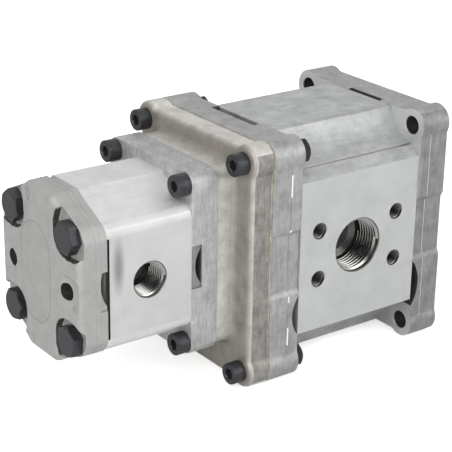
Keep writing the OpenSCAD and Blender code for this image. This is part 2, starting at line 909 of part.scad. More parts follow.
module rear_flange() {
    color("lightgray")
        difference() {
            union() {
                translate([0, 0, rear_zc])
                    along(x_small, x_boss)
                        polygon(rounded(rect(small_half_y, small_half_z), small_corner, corner_steps));
                rod(x_boss - over, x_boss + spigot_len, spigot_r, 0, 0);
            }
            rod(x_small - over, x_boss + spigot_len + over, rear_neck_hole, 0, 0);
            difference() {
                rod(x_boss + spigot_len / 2 - o_ring_wire - seal_gap,
                    x_boss + spigot_len / 2 + o_ring_wire + seal_gap, spigot_r + over, 0, 0);
                rod(x_boss, x_boss + spigot_len, spigot_r - o_ring_seat, 0, 0);
            }
            translate([0, 0, rear_zc]) {
                for (h = small_holes)
                    rod(x_small - over, x_boss + over, m8_hole_r, h[0], h[1]);
                for (b = bolts)
                    rod(x_small - over, x_small + bolt_tap, m10_r, b[0], b[1]);
                for (s = [-1, 1]) {
                    side_notch(x_small, 1, s, small_half_y, small_notch_half, small_notch_x);
                    dowel_hole(x_small, 1, rear_dowel_half, rear_dowel_r, s * rear_dowel_y);
                }
            }
            seal_ring(x_small - over, x_small + seal_thick, rear_r, rear_seal_r, rear_zc, seal_gap);
        }
}

module rear_flange_screws() {
    color("dimgray")
        translate([0, 0, rear_zc])
            for (h = small_holes)
                cap_screw(x_small, -1, m8_head_r, m8_head_k, m8_r - thread_gap,
                    small_flange_t + small_tap - tap_spare, m8_hex, h[0], h[1]);
}

module rear_body() {
    color("silver")
        difference() {
            translate([0, 0, rear_zc])
                along(x_rear, x_small)
                    polygon(mirrored(both_ends(rear_half)));
            rod(x_rear - over, x_small + over, rear_bore, 0, 0);
            rod(x_rear - over, x_small + over, rear_bore, 0, 2 * rear_zc);
            translate([0, 0, rear_zc]) {
                for (b = bolts)
                    rod(x_rear - over, x_small + over, m10_hole_r, b[0], b[1]);
                for (s = [-1, 1]) {
                    dowel_hole(x_small, -1, rear_dowel_half, rear_dowel_r, s * rear_dowel_y);
                    dowel_hole(x_rear, 1, rear_dowel_half, rear_dowel_r, s * rear_dowel_y);
                }
                body_port(-1, rear_half_y, rear_in_depth, rear_in_d, rear_in_step, rear_reach, x_rear_mid);
                body_port(1, rear_half_y, rear_out_depth, rear_out_d, rear_out_step, rear_reach, x_rear_mid);
            }
        }
}

module rear_body_seals() {
    color("darkgreen")
        body_seals(x_small, x_rear, rear_r, rear_seal_r, rear_zc);
}

module rear_block_a() {
    bearing_block(x_small - end_gap - rear_block_len, x_small - end_gap,
        rear_bore - bore_gap, rear_bush_r, rear_module, 1);
}

module rear_block_b() {
    bearing_block(x_rear + end_gap, x_rear + end_gap + rear_block_len,
        rear_bore - bore_gap, rear_bush_r, rear_module, -1);
}

module rear_bushes() {
    bush_set(x_small, x_rear, rear_block_len, rear_bush_r, rear_journal, 2 * rear_r);
}

module rear_pressure_seals() {
    pressure_seals(x_small, x_rear, rear_bore - bore_gap, 2 * rear_r);
}

module rear_drive_gear() {
    gear_hi = x_small - rear_block_len - 2 * end_gap;
    gear_lo = gear_hi - rear_face_w;
    color("slategray")
        union() {
            gear_teeth(gear_lo, gear_hi, rear_module, rear_r, 0, 0);
            rod(x_rear + end_gap, x_small - end_gap, rear_journal, 0, 0);
            rod(x_small - over, sleeve_end + over, rear_neck_r, 0, 0);
            spline_teeth(sleeve_end - spline_lead, shaft_meet - shaft_split);
        }
}

module rear_driven_gear() {
    gear_hi = x_small - rear_block_len - 2 * end_gap;
    gear_lo = gear_hi - rear_face_w;
    color("slategray")
        union() {
            gear_teeth(gear_lo, gear_hi, rear_module, rear_r, 2 * rear_zc, tooth_pitch / 2);
            rod(x_rear + end_gap, x_small - end_gap, rear_journal, 0, 2 * rear_zc);
        }
}

module rear_dowels() {
    color("lightsteelblue")
        for (x = [x_small, x_rear])
            for (s = [-1, 1])
                rod(x - rear_dowel_half, x + rear_dowel_half, rear_dowel_r, s * rear_dowel_y, rear_zc);
}

module rear_cover() {
    color("lightgray")
        difference() {
            translate([0, 0, rear_zc])
                intersection() {
                    along(x_end, x_rear)
                        polygon(rounded(mirrored(both_ends(cover_half)), cover_corner, cover_steps));
                    edge_taper(x_end, x_rear + over, rear_cover_half_y, cover_top, cover_edge_cut);
                }
            translate([0, 0, rear_zc]) {
                for (b = bolts) {
                    rod(x_end - over, x_rear + over, m10_hole_r, b[0], b[1]);
                    along(x_end - over, x_end + bolt_pocket)
                        polygon([for (p = pocket_edge) [p[0] * sign(b[0]), p[1] * sign(b[1])]]);
                }
                for (s = [-1, 1]) {
                    translate([x_end + (bolt_pocket - over) / 2, s * rear_cover_half_y, 0])
                        cube([bolt_pocket + over, 2 * cover_side_drop, 2 * cover_side_half], center = true);
                    side_notch(x_rear, -1, s, rear_cover_half_y, rear_notch_half, rear_notch_x);
                    rod(x_end - over, x_end + blind_deep, blind_r, s * blind_y, blind_z);
                    dowel_hole(x_rear, -1, rear_dowel_half, rear_dowel_r, s * rear_dowel_y);
                }
                translate([0, race_y, race_z])
                    difference() {
                        along(x_end - over, x_end + race_groove)
                            polygon(racetrack(race_half_z, race_r + race_line, race_steps));
                        along(x_end - 2 * over, x_end + over)
                            polygon(racetrack(race_half_z, race_r - race_line, race_steps));
                    }
            }
            seal_ring(x_rear - seal_thick, x_rear + over, rear_r, rear_seal_r, rear_zc, seal_gap);
        }
}

// Hexagon head bolt, head face towards the rear
module hex_bolt(x, af, k, shank_r, shank_len, y, z, turn) {
    intersection() {
        hex_rod(x - k, x, af, y, z, turn);
        union() {
            cone(x - k, x - (1 - bolt_edge) * k, af * bolt_face, af * hex_corner, y, z);
            rod(x - (1 - bolt_edge) * k, x, af * hex_corner, y, z);
        }
    }
    rod(x - over, x + shank_len, shank_r, y, z);
}

module rear_cover_bolts() {
    seat = x_end + bolt_pocket;
    color("dimgray")
        translate([0, 0, rear_zc])
            for (i = [0 : 3])
                hex_bolt(seat, bolt_af, bolt_k, m10_r - thread_gap, x_small + bolt_tap - tap_spare - seat,
                    bolts[i][0], bolts[i][1], bolt_turns[i]);
}

front_flange();
shaft_seal();
seal_circlip();
front_body();
front_body_seals();
front_block_a();
front_block_b();
front_bushes();
front_pressure_seals();
front_drive_gear();
front_driven_gear();
shaft_key();
shaft_washer();
shaft_nut();
front_dowels();
front_tie_screws();
middle_cover();
coupling_seal();
adapter_gasket();
adapter_housing();
adapter_screws();
adapter_nuts();
adapter_o_ring();
coupling_sleeve();
rear_flange();
rear_flange_screws();
rear_body();
rear_body_seals();
rear_block_a();
rear_block_b();
rear_bushes();
rear_pressure_seals();
rear_drive_gear();
rear_driven_gear();
rear_dowels();
rear_cover();
rear_cover_bolts();
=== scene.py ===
"""Tandem gear pump: castings, bodies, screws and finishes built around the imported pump."""

import math

import bpy
from bpy.props import FloatProperty, FloatVectorProperty, IntProperty
from mathutils import Euler, Matrix, Vector


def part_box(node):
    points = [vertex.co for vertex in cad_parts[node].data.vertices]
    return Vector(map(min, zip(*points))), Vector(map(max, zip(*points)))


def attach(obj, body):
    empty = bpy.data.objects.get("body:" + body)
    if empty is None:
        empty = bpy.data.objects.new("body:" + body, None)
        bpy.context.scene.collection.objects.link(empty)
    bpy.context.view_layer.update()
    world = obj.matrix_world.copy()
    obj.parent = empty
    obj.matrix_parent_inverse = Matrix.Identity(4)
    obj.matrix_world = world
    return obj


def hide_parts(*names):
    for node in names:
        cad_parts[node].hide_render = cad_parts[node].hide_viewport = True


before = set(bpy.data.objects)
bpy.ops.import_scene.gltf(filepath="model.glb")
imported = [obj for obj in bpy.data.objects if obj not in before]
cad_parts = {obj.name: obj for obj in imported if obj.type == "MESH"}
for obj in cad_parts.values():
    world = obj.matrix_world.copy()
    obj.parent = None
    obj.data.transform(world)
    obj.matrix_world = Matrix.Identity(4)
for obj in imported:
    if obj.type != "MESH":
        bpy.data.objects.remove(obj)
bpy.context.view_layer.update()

bl_info = {
    "name": "Tandem Gear Pump",
    "version": (1, 0, 0),
    "blender": (4, 5, 0),
    "location": "View3D > Sidebar > Pump",
    "description": "Builds the castings, bodies, screws and finishes of a tandem gear pump",
    "category": "Add Mesh",
}

MM = 0.001


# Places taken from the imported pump, in millimetres

def low(node, axis):
    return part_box(node)[0][axis] / MM


def high(node, axis):
    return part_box(node)[1][axis] / MM


def middle(node, axis):
    return (low(node, axis) + high(node, axis)) / 2


FACE = 0.0
FLANGE_BACK = low("front_flange", 0)
COVER_FRONT = low("front_body", 0)
COVER_BACK = low("middle_cover", 0)
PLATE_FRONT = low("adapter_gasket", 0)
PLATE_THICK = 13.8
PLATE_BACK = PLATE_FRONT - PLATE_THICK
BOSS_BACK = low("adapter_housing", 0)
SMALL_BACK = low("rear_flange", 0)
REAR_BACK = low("rear_body", 0)
END = low("rear_cover", 0)
Z_FRONT = middle("front_body", 2)
Z_REAR = middle("rear_body", 2)
FRONT_PORT_X = (FLANGE_BACK + COVER_FRONT) / 2 - 0.95
REAR_PORT_X = (SMALL_BACK + REAR_BACK) / 2
FRONT_PAD = 57.4
REAR_PAD = 42.4
FLOOR_Z = low("front_flange", 2)
EAR_Y = 49.2
EAR_Z = 64.1
EAR_R = 10.5
HALF_Z = 72.4
PANEL_Z = 18
PANEL_DROP = 1.7
MOUNT_HOLE_R = 5.5
M8_HOLE_R = 4.5
M10_HOLE_R = 5.5
HEX = math.cos(math.pi / 6)
# Side, tapped radius, thread length, depth and passage radius of each port
FRONT_PORTS = ((-1, 16.625, 17.6, 20.5, 11.8), (1, 13.22, 14.6, 17, 10))
REAR_PORTS = ((-1, 10.48, 16.3, 17, 8), (1, 8.33, 13.3, 14, 6))
# Side, spacing along X and Z, and depth of the tapped holes round each front port
PORT_BOLTS = ((-1, 58.7, 30.2, 20), (1, 47.6, 22.2, 17))


WHITE = (1, 1, 1, 1)


def linear(colour):
    """Linear colour from an sRGB hex value."""
    parts = [int(colour[i:i + 2], 16) / 255 for i in (1, 3, 5)]
    return [c / 12.92 if c <= 0.04045 else ((c + 0.055) / 1.055) ** 2.4 for c in parts] + [1.0]


def colour(name, description, value):
    """A colour that a user of the pump model would change."""
    return FloatVectorProperty(
        name=name, description=description, subtype="COLOR", size=3, min=0, max=1,
        default=linear(value)[:3])


def length(name, description, value):
    """A length that a user of the pump model would change."""
    return FloatProperty(name=name, description=description, default=value * MM, unit="LENGTH")


class PumpSizes(bpy.types.PropertyGroup):
    """Sizes that a user of the pump model would change"""

    skin: length("Casting skin", "Cell size that rounds the cast edges", 0.85)
    machined_edge: length("Machined edge", "Small chamfer left on machined edges", 0.25)
    cover_round: length("End cover rounding", "Rounding round the face of the rear end cover", 4.0)
    plate_round: length("Adapter plate rounding", "Rounding of the adapter plate's rear edge", 3.4)
    thread_steps: IntProperty(
        name="Thread steps", description="Straight steps in one turn of a thread",
        default=48, min=12, max=96)


class PumpColours(bpy.types.PropertyGroup):
    """Colours that a user of the pump model would change"""

    die_cast: colour("Die cast", "Grey of the flange and the middle cover", "#A4A5A4")
    flange: colour("Small flange", "Grey of the rear pump's flange", "#B4B5B5")
    # The plate colour is darker than the boss: painted shade on the plate's sides, with real scuffs.
    plate: colour("Adapter plate", "Scuffed warm grey of the adapter's plate", "#908E8A")
    boss: colour("Adapter boss", "Paler warm grey of the adapter's boss", "#CBC9C4")
    blasted: colour("End cover", "Even grey of the blasted end cover", "#A9A9A7")
    satin: colour("Rear body", "Bright satin grey of the rear body", "#D6D7D6")
    drawn: colour("Front body", "Duller satin grey of the front body", "#B6B7B8")
    milled: colour("Port face", "Clean grey of the milled port faces", "#C6C8C7")
    oxide: colour("Black oxide", "Near black of the screws, bolts and nuts", "#3E3F42")
    gasket: colour("Gasket", "Tan of the fibre gasket", "#A0998A")


# Tools of the bench

def leave_edit():
    bpy.ops.object.mode_set(mode="OBJECT")


def clear_selection():
    """Leaves object mode on and nothing selected."""
    if bpy.context.object and bpy.context.object.mode != "OBJECT":
        leave_edit()
    bpy.ops.object.select_all(action="DESELECT")


def take(piece):
    """Makes one piece the selected and active one."""
    clear_selection()
    bpy.context.view_layer.objects.active = piece
    piece.select_set(True)


def settle(name):
    """Names the active object and moves its place into its mesh."""
    piece = bpy.context.object
    piece.name = name
    piece.data.name = name
    bpy.ops.object.transform_apply(location=True, rotation=True, scale=True)
    return piece


def edit(kind, action="SELECT"):
    """Opens the active piece in edit mode with all of one kind selected, or nothing."""
    bpy.ops.object.mode_set(mode="EDIT")
    bpy.ops.mesh.select_mode(type=kind)
    bpy.ops.mesh.select_all(action=action)


def face_outward():
    """Turns the faces of the piece in edit mode outward."""
    bpy.ops.mesh.select_all(action="SELECT")
    bpy.ops.mesh.normals_make_consistent(inside=False)


def block(name, corner, opposite):
    """Squared block between two corners given in millimetres."""
    clear_selection()
    centre = [(a + b) / 2 * MM for a, b in zip(corner, opposite)]
    size = [abs(b - a) * MM for a, b in zip(corner, opposite)]
    bpy.ops.mesh.primitive_cube_add(size=1, location=centre, scale=size)
    return settle(name)


def rod(name, a, b, radius, y, z, around=64, turn=0.0):
    """Round or hexagonal bar along the shaft line from station a to station b."""
    clear_selection()
    way = Matrix.Rotation(math.radians(turn), 4, "X") @ Matrix.Rotation(math.pi / 2, 4, "Y")
    bpy.ops.mesh.primitive_cylinder_add(
        vertices=around, radius=radius * MM, depth=abs(b - a) * MM,
        location=((a + b) / 2 * MM, y * MM, z * MM), rotation=way.to_euler())
    return settle(name)


def side_rod(name, x, z, y_from, y_to, radius, around=64, foot=None):
    """Round bar across the pump, tapered when foot gives the radius at y_from."""
    clear_selection()
    turn = math.pi / 2 if y_to < y_from else -math.pi / 2
    bpy.ops.mesh.primitive_cone_add(
        vertices=around, radius1=(radius if foot is None else foot) * MM, radius2=radius * MM,
        depth=abs(y_to - y_from) * MM,
        location=(x * MM, (y_from + y_to) / 2 * MM, z * MM), rotation=(turn, 0, 0))
    return settle(name)


def cone(name, a, b, radius_a, radius_b, y, z, around=64):
    """Tapered bar along the shaft line."""
    clear_selection()
    bpy.ops.mesh.primitive_cone_add(
        vertices=around, radius1=radius_a * MM, radius2=radius_b * MM, depth=(b - a) * MM,
        location=((a + b) / 2 * MM, y * MM, z * MM), rotation=(0, math.pi / 2, 0))
    return settle(name)


def drawn_face(name, places):
    """Flat face drawn point by point, left open in edit mode."""
    clear_selection()
    bpy.ops.mesh.primitive_plane_add(size=MM, location=[c * MM for c in places[0]])
    piece = settle(name)
    edit("VERT")
    bpy.ops.mesh.merge(type="CENTER")
    for start, end in zip(places, places[1:]):
        step = [(b - a) * MM for a, b in zip(start, end)]
        bpy.ops.mesh.extrude_region_move(TRANSFORM_OT_translate={"value": step})
    bpy.ops.mesh.select_all(action="SELECT")
    bpy.ops.mesh.edge_face_add()
    return piece


def pulled(name, outline, a, b):
    """Outline in (y, z) drawn at station a and pulled to station b."""
    piece = drawn_face(name, [(a, y, z) for y, z in outline])
    edit("FACE")
    bpy.ops.mesh.extrude_region_move(TRANSFORM_OT_translate={"value": ((b - a) * MM, 0, 0)})
    face_outward()
    leave_edit()
    if len(piece.data.polygons) != len(outline) + 2:
        raise RuntimeError(f"{name}: the outline didn't close")
    return piece


def at_station(station):
    """Test for an edge that lies at a station."""
    return lambda a, b: abs(a.x - station) < 0.01 and abs(b.x - station) < 0.01


def round_edges(piece, wanted, radius, steps):
    """Rounds the edges whose ends, in millimetres, pass the test."""
    take(piece)
    edit("EDGE", "DESELECT")
    leave_edit()
    verts = piece.data.vertices
    for edge in piece.data.edges:
        a, b = (verts[i].co / MM for i in edge.vertices)
        edge.select = bool(wanted(a, b))
    bpy.ops.object.mode_set(mode="EDIT")
    bpy.ops.mesh.bevel(offset=radius * MM, segments=steps, affect="EDGES", clamp_overlap=False)
    bpy.ops.mesh.select_all(action="SELECT")
    bpy.ops.mesh.remove_doubles(threshold=0.01 * MM)
    leave_edit()


def modify(piece, kind, **settings):
    """Adds a modifier, sets it and applies it."""
    take(piece)
    bpy.ops.object.modifier_add(type=kind)
    modifier = piece.modifiers[-1]
    for key, value in settings.items():
        setattr(modifier, key, value)
    bpy.ops.object.modifier_apply(modifier=modifier.name)


def shape(piece, how, *tools):
    """Works the tools' volume into a piece, then throws the tools away."""
    for tool in tools:
        modify(piece, "BOOLEAN", object=tool, operation=how, solver="MANIFOLD")
        bpy.data.objects.remove(tool)
    if len(piece.data.polygons) < 6:
        raise RuntimeError(f"{piece.name}: nothing was left of it")
    return piece


def cut(piece, *tools):
    return shape(piece, "DIFFERENCE", *tools)


def weld(piece, *tools):
    return shape(piece, "UNION", *tools)


def keep_within(piece, *tools):
    return shape(piece, "INTERSECT", *tools)


def machined(piece, station, towards, width):
    """Machines a casting flat at a station and breaks the edge round the new face."""
    level = station - towards * width / MM
    take(piece)
    edit("FACE")
    bpy.ops.mesh.bisect(
        plane_co=(level * MM, 0, 0), plane_no=(towards, 0, 0), use_fill=True, clear_outer=True,
        threshold=0.0001 * MM)
    face_outward()
    bpy.ops.mesh.select_all(action="DESELECT")
    leave_edit()
    for face in piece.data.polygons:
        face.select = face.normal.x * towards > 0.99 and abs(face.center.x / MM - level) < 0.02
    if not any(face.select for face in piece.data.polygons):
        raise RuntimeError(f"{piece.name}: no face to machine at {station}")
    bpy.ops.object.mode_set(mode="EDIT")
    bpy.ops.mesh.inset(thickness=width, depth=width, use_even_offset=False)
    leave_edit()


def cast_skin(piece, cell, rounds):
    """Gives a rough shape the soft edges and fillets of a casting."""
    modify(piece, "REMESH", mode="VOXEL", voxel_size=cell, use_smooth_shade=True)
    modify(piece, "SMOOTH", factor=0.5, iterations=rounds)
    modify(piece, "DECIMATE", decimate_type="COLLAPSE", ratio=0.3)


def flatten(piece, station, way):
    """Presses what stands beyond a machined face back into it."""
    take(piece)
    for vertex in piece.data.vertices:
        vertex.select = (vertex.co.x / MM - station) * way > 0.001
    if not any(vertex.select for vertex in piece.data.vertices):
        return
    bpy.ops.object.mode_set(mode="EDIT")
    bpy.ops.mesh.select_mode(type="VERT")
    bpy.ops.transform.resize(value=(0, 1, 1), center_override=(station * MM, 0, 0))
    leave_edit()


def break_edges(piece, width):
    """Takes the sharp edges off a plain bar."""
    modify(piece, "BEVEL", width=width, segments=2, limit_method="ANGLE",
           angle_limit=math.radians(50), use_clamp_overlap=False)


def smooth_out(piece, angle=32, split=True):
    """Smooth shading with flat faces kept flat; split cuts faces of many corners into triangles."""
    if split:
        modify(piece, "TRIANGULATE", min_vertices=5)
    take(piece)
    bpy.ops.object.shade_smooth_by_angle(angle=math.radians(angle))
    modify(piece, "WEIGHTED_NORMAL", keep_sharp=True)


def copy_of(piece, name, move=(0, 0, 0), turn=0.0):
    """A copy with its own mesh, turned about the shaft way and moved."""
    take(piece)
    bpy.ops.object.duplicate()
    bpy.ops.transform.rotate(value=math.radians(turn), orient_axis="X", center_override=(0, 0, 0))
    bpy.ops.transform.translate(value=[m * MM for m in move])
    return settle(name)


def joined(name, *pieces):
    """Several solids as one object."""
    clear_selection()
    for piece in pieces:
        piece.select_set(True)
    bpy.context.view_layer.objects.active = pieces[0]
    if len(pieces) > 1:
        bpy.ops.object.join()
    return settle(name)


def done(piece, slot, replaces=True):
    """Hands a finished piece over to the housing, in place of the node of its slot unless told not to."""
    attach(piece, "housing")
    if replaces:
        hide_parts(slot)


# Outlines in (y, z) round a centre height

def mirrored(quarter, z):
    """Whole outline from the quarter with y and z above zero, top to side."""
    right = quarter + [(y, -h) for y, h in reversed(quarter)]
    whole = right + [(-y, h) for y, h in reversed(right)]
    return [(y, h + z) for y, h in whole]


def softened(outline, radius, steps=4):
    """Outline with its corners turned into arcs."""
    soft = []
    for i, corner in enumerate(outline):
        corner = Vector(corner)
        before = (Vector(outline[i - 1]) - corner).normalized()
        after = (Vector(outline[(i + 1) % len(outline)]) - corner).normalized()
        half = before.angle(after) / 2
        if half > math.radians(87):
            soft.append(tuple(corner))
            continue
        centre = corner + (before + after).normalized() * (radius / math.sin(half))
        reach = radius / math.tan(half)
        start = corner + before * reach - centre
        turn = start.angle_signed(corner + after * reach - centre)
        for n in range(steps + 1):
            spoke = start.copy()
            spoke.rotate(Matrix.Rotation(-turn * n / steps, 2))
            soft.append(tuple(centre + spoke))
    return soft


def arc(cy, cz, radius, start, end, steps):
    turns = [math.radians(start + (end - start) * i / steps) for i in range(steps + 1)]
    return [(cy + radius * math.cos(t), cz + radius * math.sin(t)) for t in turns]


def racetrack(y, z, half, radius, steps=24):
    """Upright slot outline with round ends."""
    return arc(y, z + half, radius, 0, 180, steps) + arc(y, z - half, radius, 180, 360, steps)


def round_box(half_y, half_z, corner):
    """Upright rectangle with round corners round the rear pump's middle."""
    return mirrored(arc(half_y - corner, half_z - corner, corner, 90, 0, 8), Z_REAR)


def four(y, z, height):
    return [(sy * y, height + sz * z) for sz in (1, -1) for sy in (1, -1)]


def port_bolts(spacing_x, spacing_z):
    """Places in (x, z) of the four tapped holes round a front port."""
    return [(FRONT_PORT_X + i * spacing_x / 2, Z_FRONT + j * spacing_z / 2)
            for i in (1, -1) for j in (1, -1)]


EARS = four(EAR_Y, EAR_Z, Z_FRONT)
FLANGE_SCREWS = four(35.7, 48.1, Z_REAR)
COVER_BOLTS = four(29.8, 30.4, Z_REAR)


# Finishes

def put(tree, kind, inputs=None, stops=(), **settings):
    """Adds a node, sets it, links what feeds it and places its colour stops."""
    node = tree.nodes.new(kind)
    for key, value in settings.items():
        setattr(node, key, value)
    for key, value in (inputs or {}).items():
        if isinstance(value, bpy.types.NodeSocket):
            tree.links.new(value, node.inputs[key])
        else:
            node.inputs[key].default_value = value
    for _ in stops[2:]:
        node.color_ramp.elements.new(0.5)
    for element, (place, tone) in zip(node.color_ramp.elements if stops else (), stops):
        element.position = place
        element.color = (*tone[:3], 1.0)
    return node


def blank(name):
    """A material with nothing in it but its output."""
    material = bpy.data.materials.new(name)
    material.use_nodes = True
    material.node_tree.nodes.clear()
    return material, material.node_tree


def per_metre(size_mm):
    """Pattern scale for a feature of that size."""
    return 1 / (size_mm * MM)


def grey(amount):
    return (amount, amount, amount)


def multiplied(tree, tone, shade, amount=1.0):
    """A colour darkened or lightened by another."""
    return put(tree, "ShaderNodeMix", {0: amount, 6: tone, 7: shade},
               data_type="RGBA", blend_type="MULTIPLY").outputs[2]


def metal(name, base, spread, metallic, rough, patch_mm, grain_mm, grain_depth, streak=None):
    """Metal with soft patches, fine grain and, where given, drawn or scratched streaks."""
    material, tree = blank(name)
    place = put(tree, "ShaderNodeTexCoord").outputs["Object"]
    patch, grain = (
        put(tree, "ShaderNodeTexNoise", {
            "Vector": place, "Scale": per_metre(mm), "Detail": detail, "Roughness": fine}).outputs["Fac"]
        for mm, detail, fine in ((patch_mm, 8.0, 0.68), (grain_mm, 3.0, 0.7)))
    dark = [c * (1 - spread) for c in base]
    light = [min(1.0, c * (1 + spread)) for c in base]
    tone = put(tree, "ShaderNodeValToRGB", {"Fac": patch},
               [(0.33, dark), (0.5, base), (0.68, light)]).outputs["Color"]
    if streak:
        way_mm, amount = streak
        stretched = put(tree, "ShaderNodeMapping", {
            "Vector": place, "Scale": [per_metre(mm) for mm in way_mm]}).outputs["Vector"]
        lines = put(tree, "ShaderNodeTexNoise", {
            "Vector": stretched, "Scale": 1.0, "Detail": 5.0, "Roughness": 0.65}).outputs["Fac"]
        shade = put(tree, "ShaderNodeValToRGB", {"Fac": lines},
                    [(0.36, grey(0.5)), (0.52, grey(1)), (0.7, grey(1.25))]).outputs["Color"]
        tone = multiplied(tree, tone, shade, amount)
    gloss = put(tree, "ShaderNodeMapRange", {
        "Value": patch, "From Min": 0.3, "From Max": 0.7,
        "To Min": rough - 0.05, "To Max": rough + 0.07}).outputs["Result"]
    bump = put(tree, "ShaderNodeBump", {
        "Height": grain, "Strength": grain_depth, "Distance": 0.25 * MM}).outputs["Normal"]
    shader = put(tree, "ShaderNodeBsdfPrincipled", {
        "Base Color": tone, "Metallic": metallic, "Roughness": gloss, "Normal": bump})
    put(tree, "ShaderNodeOutputMaterial", {"Surface": shader.outputs["BSDF"]})
    return material


def darken(tree, value, stops):
    """Multiplies a finish's colour by the shades along a value."""
    colour_in = tree.nodes["Principled BSDF"].inputs["Base Color"]
    shade = put(tree, "ShaderNodeValToRGB", {"Fac": value}, stops).outputs["Color"]
    tree.links.new(multiplied(tree, colour_in.links[0].from_socket, shade), colour_in)


def painted_dark_patch(material, centre_mm, half_mm, depth):
    """Darkens a soft oval patch of a finish, as a painted dark reflection."""
    tree = material.node_tree
    place = put(tree, "ShaderNodeTexCoord").outputs["Object"]
    local = put(tree, "ShaderNodeMapping", {
        "Vector": place, "Location": [c * MM for c in centre_mm],
        "Scale": [h * MM for h in half_mm]}, vector_type="TEXTURE").outputs["Vector"]
    spot = put(tree, "ShaderNodeTexGradient", {"Vector": local}, gradient_type="SPHERICAL").outputs["Fac"]
    darken(tree, spot, [(0.0, grey(1)), (0.75, grey(1 - depth))])


def corner_shade(material, start, end, depth):
    """Darkens a soft band of a finish between two stations with warm painted shade, as shade falls in a
    corner.
    """
    tree = material.node_tree
    place = put(tree, "ShaderNodeTexCoord").outputs["Object"]
    along = put(tree, "ShaderNodeSeparateXYZ", {"Vector": place}).outputs["X"]
    band = put(tree, "ShaderNodeMapRange", {
        "Value": along, "From Min": start * MM, "From Max": end * MM}).outputs["Result"]
    shade_tone = (1 - depth, 1 - depth * 1.04, 1 - depth * 1.1)
    darken(tree, band, [(0.0, grey(1)), (0.42, shade_tone), (0.62, shade_tone), (1.0, grey(1))])


FINISH = {}


